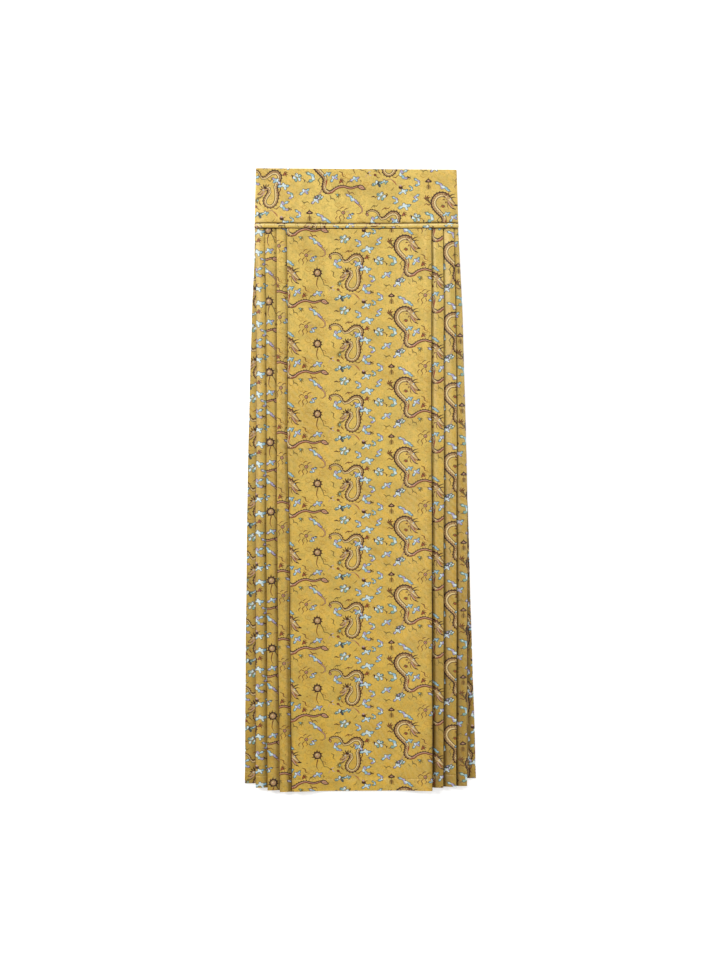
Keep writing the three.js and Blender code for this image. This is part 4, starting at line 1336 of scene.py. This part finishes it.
def weave(nt, vec, warp=0.00062, weft=0.00078, angle=0.0):
    """height of a satin weave: long floats one way, fine yarns the other"""
    mp = node(nt, "ShaderNodeMapping")
    mp.inputs["Rotation"].default_value = (0, 0, angle)
    nt.links.new(vec, mp.inputs["Vector"])
    heights = []
    for direction, pitch, dist in (("X", warp, 1.2), ("Y", weft, 0.8)):
        w = node(nt, "ShaderNodeTexWave", wave_type="BANDS", bands_direction=direction)
        nt.links.new(mp.outputs[0], w.inputs["Vector"])
        w.inputs["Scale"].default_value = 2 * math.pi / 20 / pitch
        w.inputs["Distortion"].default_value = dist
        w.inputs["Detail"].default_value = 1.0
        w.inputs["Detail Scale"].default_value = 0.6
        heights.append(w.outputs["Fac"])
    return math_node(nt, "ADD", math_node(nt, "MULTIPLY", heights[0], 0.65), math_node(nt, "MULTIPLY", heights[1], 0.35))


def finish_material(nt, bsdf, height, strength, distance):
    bump = node(nt, "ShaderNodeBump")
    bump.inputs["Strength"].default_value = strength
    bump.inputs["Distance"].default_value = distance
    nt.links.new(height, bump.inputs["Height"])
    nt.links.new(bump.outputs[0], bsdf.inputs["Normal"])
    out = node(nt, "ShaderNodeOutputMaterial")
    nt.links.new(bsdf.outputs[0], out.inputs["Surface"])


def satin_ground(name, top, low, warm, cool, dark):
    m = new_material(name)
    nt = m.node_tree
    geo = node(nt, "ShaderNodeTexCoord").outputs["Object"]
    sep = node(nt, "ShaderNodeSeparateXYZ")
    nt.links.new(geo, sep.inputs[0])
    fall = node(nt, "ShaderNodeMapRange")
    nt.links.new(sep.outputs["Y"], fall.inputs["Value"])
    fall.inputs["From Min"].default_value, fall.inputs["From Max"].default_value = 0.45, -0.48
    base = mix_colour(nt, fall.outputs[0], rgb(top), rgb(low))
    # the ground is mixed darker over the outer pleats, below the waist, than over the smooth panel
    ax = math_node(nt, "ABSOLUTE", sep.outputs["X"])
    side = node(nt, "ShaderNodeMapRange")
    nt.links.new(ax, side.inputs["Value"])
    side.inputs["From Min"].default_value, side.inputs["From Max"].default_value = 0.110, 0.165
    below = node(nt, "ShaderNodeMapRange")
    nt.links.new(sep.outputs["Y"], below.inputs["Value"])
    below.inputs["From Min"].default_value, below.inputs["From Max"].default_value = 0.402, 0.30
    base = mix_colour(nt, math_node(nt, "MULTIPLY", math_node(nt, "MULTIPLY", side.outputs[0], below.outputs[0]), 0.34), base, rgb(dark))
    cloudy = noise(nt, geo, 9.0, 3.0, 0.6, (1.0, 0.55, 1.0))
    ramp = node(nt, "ShaderNodeMapRange")
    nt.links.new(cloudy, ramp.inputs["Value"])
    ramp.inputs["From Min"].default_value, ramp.inputs["From Max"].default_value = 0.35, 0.68
    base = mix_colour(nt, math_node(nt, "MULTIPLY", ramp.outputs[0], 0.6), base, rgb(warm))
    patch = noise(nt, geo, 26.0, 2.0, 0.55, (0.7, 1.3, 1.0))
    ramp3 = node(nt, "ShaderNodeMapRange")
    nt.links.new(patch, ramp3.inputs["Value"])
    ramp3.inputs["From Min"].default_value, ramp3.inputs["From Max"].default_value = 0.45, 0.72
    base = mix_colour(nt, math_node(nt, "MULTIPLY", ramp3.outputs[0], 0.36), base, rgb(dark))
    small = noise(nt, geo, 120.0, 2.0, 0.6)
    ramp2 = node(nt, "ShaderNodeMapRange")
    nt.links.new(small, ramp2.inputs["Value"])
    ramp2.inputs["From Min"].default_value, ramp2.inputs["From Max"].default_value = 0.38, 0.66
    base = mix_colour(nt, math_node(nt, "MULTIPLY", ramp2.outputs[0], 0.5), base, rgb(cool))
    # faint paler wavy lines over the ground, clearer in some places than in others
    water = node(nt, "ShaderNodeTexWave", wave_type="BANDS", bands_direction="DIAGONAL")
    nt.links.new(geo, water.inputs["Vector"])
    water.inputs["Scale"].default_value, water.inputs["Distortion"].default_value = 52.0, 11.0
    water.inputs["Detail"].default_value, water.inputs["Detail Scale"].default_value = 2.0, 0.35
    lines = math_node(nt, "MULTIPLY", math_node(nt, "MULTIPLY", water.outputs["Fac"], ramp.outputs[0]), 0.30)
    base = mix_colour(nt, lines, base, rgb("#e6cd84"))
    speck = noise(nt, geo, 430.0, 2.0, 0.7)
    spk = node(nt, "ShaderNodeMapRange")
    nt.links.new(speck, spk.inputs["Value"])
    spk.inputs["From Min"].default_value, spk.inputs["From Max"].default_value = 0.50, 0.72
    base = mix_colour(nt, math_node(nt, "MULTIPLY", spk.outputs[0], 0.52), base, rgb(dark))
    yarn = noise(nt, geo, 900.0, 1.0, 0.5, (1.0, 0.16, 1.0))
    base = mix_colour(nt, math_node(nt, "MULTIPLY", yarn, 0.22), base, rgb(dark))
    # painted shade: the per-point shade attribute mixes the ground toward dark brown under and beside the folds
    deep = node(nt, "ShaderNodeAttribute", attribute_name="painted_fold_shade")
    base = mix_colour(nt, math_node(nt, "MULTIPLY", deep.outputs["Fac"], 0.92), base, rgb("#563a0c"))
    bsdf = node(nt, "ShaderNodeBsdfPrincipled")
    nt.links.new(base, bsdf.inputs["Base Color"])
    rough = math_node(nt, "ADD", math_node(nt, "MULTIPLY", small, 0.16), 0.36)
    nt.links.new(rough, bsdf.inputs["Roughness"])
    bsdf.inputs["Specular IOR Level"].default_value = 0.45
    bsdf.inputs["Sheen Weight"].default_value = 0.12
    bsdf.inputs["Sheen Roughness"].default_value = 0.35
    bsdf.inputs["Sheen Tint"].default_value = rgb("#ffe9b0")
    slub = noise(nt, geo, 260.0, 2.0, 0.5, (1.0, 0.12, 1.0))
    h = math_node(nt, "ADD", weave(nt, geo), math_node(nt, "MULTIPLY", slub, 0.6))
    finish_material(nt, bsdf, h, 0.35, 0.00012)
    return m


def thread(name, colour, rough=0.48, angle=0.6, sheen=0.1):
    """a motif's silk: one plain colour, its floats lying across the ground's"""
    m = new_material(name)
    nt = m.node_tree
    geo = node(nt, "ShaderNodeTexCoord").outputs["Object"]
    bsdf = node(nt, "ShaderNodeBsdfPrincipled")
    bsdf.inputs["Base Color"].default_value = rgb(colour)
    bsdf.inputs["Specular IOR Level"].default_value = 0.4
    bsdf.inputs["Sheen Weight"].default_value = sheen
    bsdf.inputs["Sheen Roughness"].default_value = 0.4
    n = noise(nt, geo, 500.0, 2.0, 0.5)
    nt.links.new(math_node(nt, "ADD", math_node(nt, "MULTIPLY", n, 0.18), rough - 0.09), bsdf.inputs["Roughness"])
    h = weave(nt, geo, 0.00085, 0.0006, angle)
    finish_material(nt, bsdf, h, 0.5, 0.00018)
    return m


GOLD = satin_ground("gold_satin", "#e9cb6b", "#deb444", "#e0af42", "#b9a858", "#8c6820")
SILKS = [
    thread("silk_umber", "#3d1f0c"), thread("silk_brown", "#6b3d18"), thread("silk_fawn", "#b3905a"),
    thread("silk_pale_gold", "#dcc58a"), thread("silk_russet", "#9a4f28"), thread("silk_sky", "#92b6c0"),
    thread("silk_white", "#ccd9d6"), thread("silk_lilac", "#a99db8"), thread("silk_slate", "#424845"),
    thread("silk_teal", "#84a797"), thread("silk_olive", "#6e5d28"), thread("silk_rose", "#b98f72"),
    # painted shade lines and a painted highlight line, in plain silk colours
    thread("painted_shade_line", "#4a3010", 0.6), thread("painted_highlight_cream", "#ecd894", 0.4),
    thread("silk_ochre", "#b98f3c", 0.5),
]
REVERSE = thread("satin_reverse", "#b8954a", 0.6, 0.0, 0.05)
MATS = [GOLD] + SILKS + [REVERSE]

# ------------------------------------------------------------------ the pieces
STEP = 12.0
ROWS = sorted(set(np.linspace(LOW, SKIRT_TOP, int((SKIRT_TOP - LOW) / STEP) + 1).tolist()
                  + [LOW + d for d in (0.8, 2.5, 5.0, 12.0, 15.5, 17.5, 18.4, 19.2, 20.2, 21.6, 24.0)]))


def inner_grid(s0, s1, e0, e1, step):
    pts = []
    m = int((s1 - s0) / step)
    k = int((e1 - e0) / step)
    for j in range(1, k):
        for i in range(1, m):
            pts.append((s0 + (s1 - s0) * (i + (0.5 if j % 2 else 0.0)) / (m + 0.5), e0 + (e1 - e0) * j / k))
    return pts


for front, name, phase in ((True, "front_panel", "panel"), (False, "back_panel", "back")):
    form = Panel(front)
    polys = pattern(FINE if front else COARSE, form, form.face, PHASES[phase], (-120, 120, LOW, SKIRT_TOP),
                    (form.s_left - 3.0, form.s_right + 3.0), (LOW, SKIRT_TOP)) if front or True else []
    grid = inner_grid(form.s_left + 57, form.s_right - 57, LOW, SKIRT_TOP, 9.0)
    grid_in = inner_grid(form.s_left + 57, form.s_right - 57, LOW, SKIRT_TOP, 12.0)
    build(name, form, polys, ROWS, grid, grid_in, MATS)
    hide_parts("front_horse_face_panel" if front else "back_horse_face_panel")

# widths of the painted shadow lines beside the folds, per side and fold
SHADOW_LINE_WIDTHS = {"L": (0.8, 1.0, 1.1, 1.5), "R": (1.2, 1.3, 1.3, 2.0)}
for side, tag, name in ((SL, "L", "left_pleats_cloth"), (SR, "R", "right_pleats_cloth")):
    form = Pleats(side)
    polys = []
    for n in (15, 13, 11, 9, 8, 6, 4, 2):
        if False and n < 9:
            continue
        lay = form.lays[15 - n]
        k = (n - 9) // 2 if n >= 9 else 4 - n // 2
        cover = side.f if n >= 9 else side.b

        def shows(x, y, cover=cover, k=k, sign=side.sign):
            return sign * x - cover(k + 1, np.clip(y, LOW, SKIRT_TOP)) + 0.6

        lim = (lay.s0 + 0.5, lay.s1 + 2.6) if lay.outward else (lay.s0 - 2.6, lay.s1 - 0.5)
        q = [float(side.sign * v) for v in (105.0, 190.0)]
        shadow_lines = painted_shadow_line(form, n, lambda e, c=cover, kk=k + 1: c(kk, e), None, side.sign, SHADE, SHADOW_LINE_WIDTHS[tag][k], 0)
        polys += pattern(FINE if n >= 9 else COARSE, form, n, PHASES[(tag, n)], (min(q), max(q), LOW, SKIRT_TOP), lim, (LOW, SKIRT_TOP), shows) + shadow_lines
    build(name, form, polys, ROWS, None, None, MATS)
    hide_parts("left_pleats" if tag == "L" else "right_pleats")

for front, strip, name, phase in ((True, False, "band_front", "band"), (False, False, "band_back", "band_back"),
                                  (True, True, "narrow_strip_front", "strip"), (False, True, "narrow_strip_back", "strip_back")):
    form = Band(front, strip)
    polys = pattern(FINE if front else COARSE, form, 0, PHASES[phase], (-170, 158, form.e0, form.e1), (0.0, form.total),
                    (form.e0, form.e1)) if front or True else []
    if strip:
        # painted shade: dark lines along both long edges of the narrow strip
        for y0, y1 in ((form.e0 + 0.01, form.e0 + 1.1), (form.e1 - 1.1, form.e1 - 0.01)):
            polys += [(SHADE, [(a, y0), (a + form.total / 20, y0), (a + form.total / 20, y1), (a, y1)])
                      for a in (form.total * i / 20 for i in range(20))]
        # painted highlight: a cream line along the middle of the narrow strip
        y0 = form.e0 + 4.6
        polys += [(PAINTED_HIGHLIGHT, [(a + 0.5, y0), (a + form.total / 20 - 0.5, y0), (a + form.total / 20 - 0.5, y0 + 1.5), (a + 0.5, y0 + 1.5)])
                  for a in (form.total * i / 20 for i in range(20))]
    build(name, form, polys, form.rows(), None, None, MATS)
    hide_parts(("waist_strip" if strip else "waistband") + ("_front" if front else "_back"))

# ------------------------------------------------------------------ hem stitches
def stitches(name, front):
    """short threads along the hem's stitch line, lying on each strip that shows"""
    verts, faces = [], []
    runs = []
    panel = Panel(front)
    y0 = (SL.hem(4) + SR.hem(4)) / 2 + HEM_TURN
    runs.append((panel, None, np.arange(-108.0, 113.0, 4.1)))
    for side in (SL, SR):
        form = Pleats(side)
        for n in ((15, 13, 11, 9) if front else (2, 4, 6, 8)):
            k = (n - 9) // 2 if n >= 9 else 4 - n // 2
            e = np.array([LOW + HEM_TURN])
            cover = side.f if front else side.b
            a, b = float(cover(k + 1, e)[0]) + 1.6, float(cover(k, e)[0]) - 1.8
            if b - a > 3:
                runs.append((form, n, side.sign * np.arange(a, b, 4.1)))
    for form, n, xs in runs:
        X = (np.array(xs)[:, None] + np.array([-1.25, 0.0, 1.25])[None, :]).ravel()
        hem = form.hem_at(X, np.full(len(X), LOW + HEM_TURN)) if n is None else form.side.hems(n)[0]
        Y = hem + HEM_TURN + 0.25 * np.sin(np.repeat(xs, 3) * 1.7)
        s, e = form.place(form.face if n is None else n, X, Y)
        P, N = surface(form, s, e)
        P = P + N * (SHELL / 2 + np.tile([-0.06, 0.10, -0.06], len(xs)))[:, None]
        for i in range(len(xs)):
            base = len(verts)
            for p in P[3 * i:3 * i + 3]:
                for ang in range(6):
                    a = math.pi / 3 * ang
                    r = 0.24
                    verts.append(((p[0]) * MM, (p[1] + r * math.cos(a)) * MM, max(0.02, p[2] + r * math.sin(a) * 0.9) * MM))
            for j in (0, 1):
                for ang in range(6):
                    a, b = base + 6 * j + ang, base + 6 * j + (ang + 1) % 6
                    faces.append((a, b, b + 6, a + 6))
            faces.append(tuple(base + i for i in range(6))[::-1])
            faces.append(tuple(base + 12 + i for i in range(6)))
    me = bpy.data.meshes.new(name)
    me.from_pydata(verts, [], faces)
    me.materials.append(STITCH)
    for p in me.polygons:
        p.use_smooth = True
    me.update()
    ob = bpy.data.objects.new(name, me)
    bpy.context.scene.collection.objects.link(ob)
    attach(ob, "root")
    return ob


STITCH = thread("sewing_thread", "#80591c", 0.55, 0.9)
stitches("hem_stitches_front", True)
stitches("hem_stitches_back", False)


# ------------------------------------------------------------------ stage, light and camera
me = bpy.data.meshes.new("floor")
me.from_pydata([(-6, -6, 0), (6, -6, 0), (6, 6, 0), (-6, 6, 0)], [], [(0, 1, 2, 3)])
floor = bpy.data.objects.new("floor", me)
bpy.context.scene.collection.objects.link(floor)
fm = new_material("pale_floor")
nt = fm.node_tree
b = node(nt, "ShaderNodeBsdfPrincipled")
b.inputs["Base Color"].default_value = (0.75, 0.75, 0.75, 1)
b.inputs["Emission Color"].default_value = (1, 1, 1, 1)
b.inputs["Emission Strength"].default_value = 0.55
b.inputs["Roughness"].default_value = 0.9
b.inputs["Specular IOR Level"].default_value = 0.1
o = node(nt, "ShaderNodeOutputMaterial")
nt.links.new(b.outputs[0], o.inputs[0])
me.materials.append(fm)

world = bpy.data.worlds.new("studio")
world.use_nodes = True
world.node_tree.nodes["Background"].inputs[0].default_value = (1.0, 1.0, 1.0, 1)
world.node_tree.nodes["Background"].inputs[1].default_value = 0.30
bpy.context.scene.world = world


def area(name, loc, target, size, power, colour=(1, 1, 1)):
    d = bpy.data.lights.new(name, "AREA")
    d.shape, d.size, d.size_y = "RECTANGLE", size[0], size[1]
    d.energy, d.color = power, colour
    ob = bpy.data.objects.new(name, d)
    ob.location = loc
    ob.rotation_euler = (Vector(target) - Vector(loc)).to_track_quat("-Z", "Y").to_euler()
    bpy.context.scene.collection.objects.link(ob)
    return ob


area("key", (-2.7, 1.0, 2.15), (0, 0, 0), (0.8, 1.6), 92, (1.0, 0.985, 0.96))
area("right", (2.9, 0.2, 1.35), (0, 0, 0), (0.8, 1.6), 40, (0.98, 0.99, 1.0))
area("top", (0.0, 2.4, 2.4), (0, 0.1, 0), (1.8, 1.0), 36)

cam = bpy.data.cameras.new("camera")
HEIGHT = 4.0
cam.sensor_fit = "VERTICAL"
cam.sensor_height = 36.0
cam.lens = 36.0 * (HEIGHT - 0.006) / 1.5344
cam.clip_end = 50
camera = bpy.data.objects.new("camera", cam)
camera.location = (-0.0005, 0.0006, HEIGHT)
camera.rotation_euler = (0, 0, 0)
bpy.context.scene.collection.objects.link(camera)
bpy.context.scene.camera = camera
bpy.context.scene.view_settings.view_transform = "Standard"
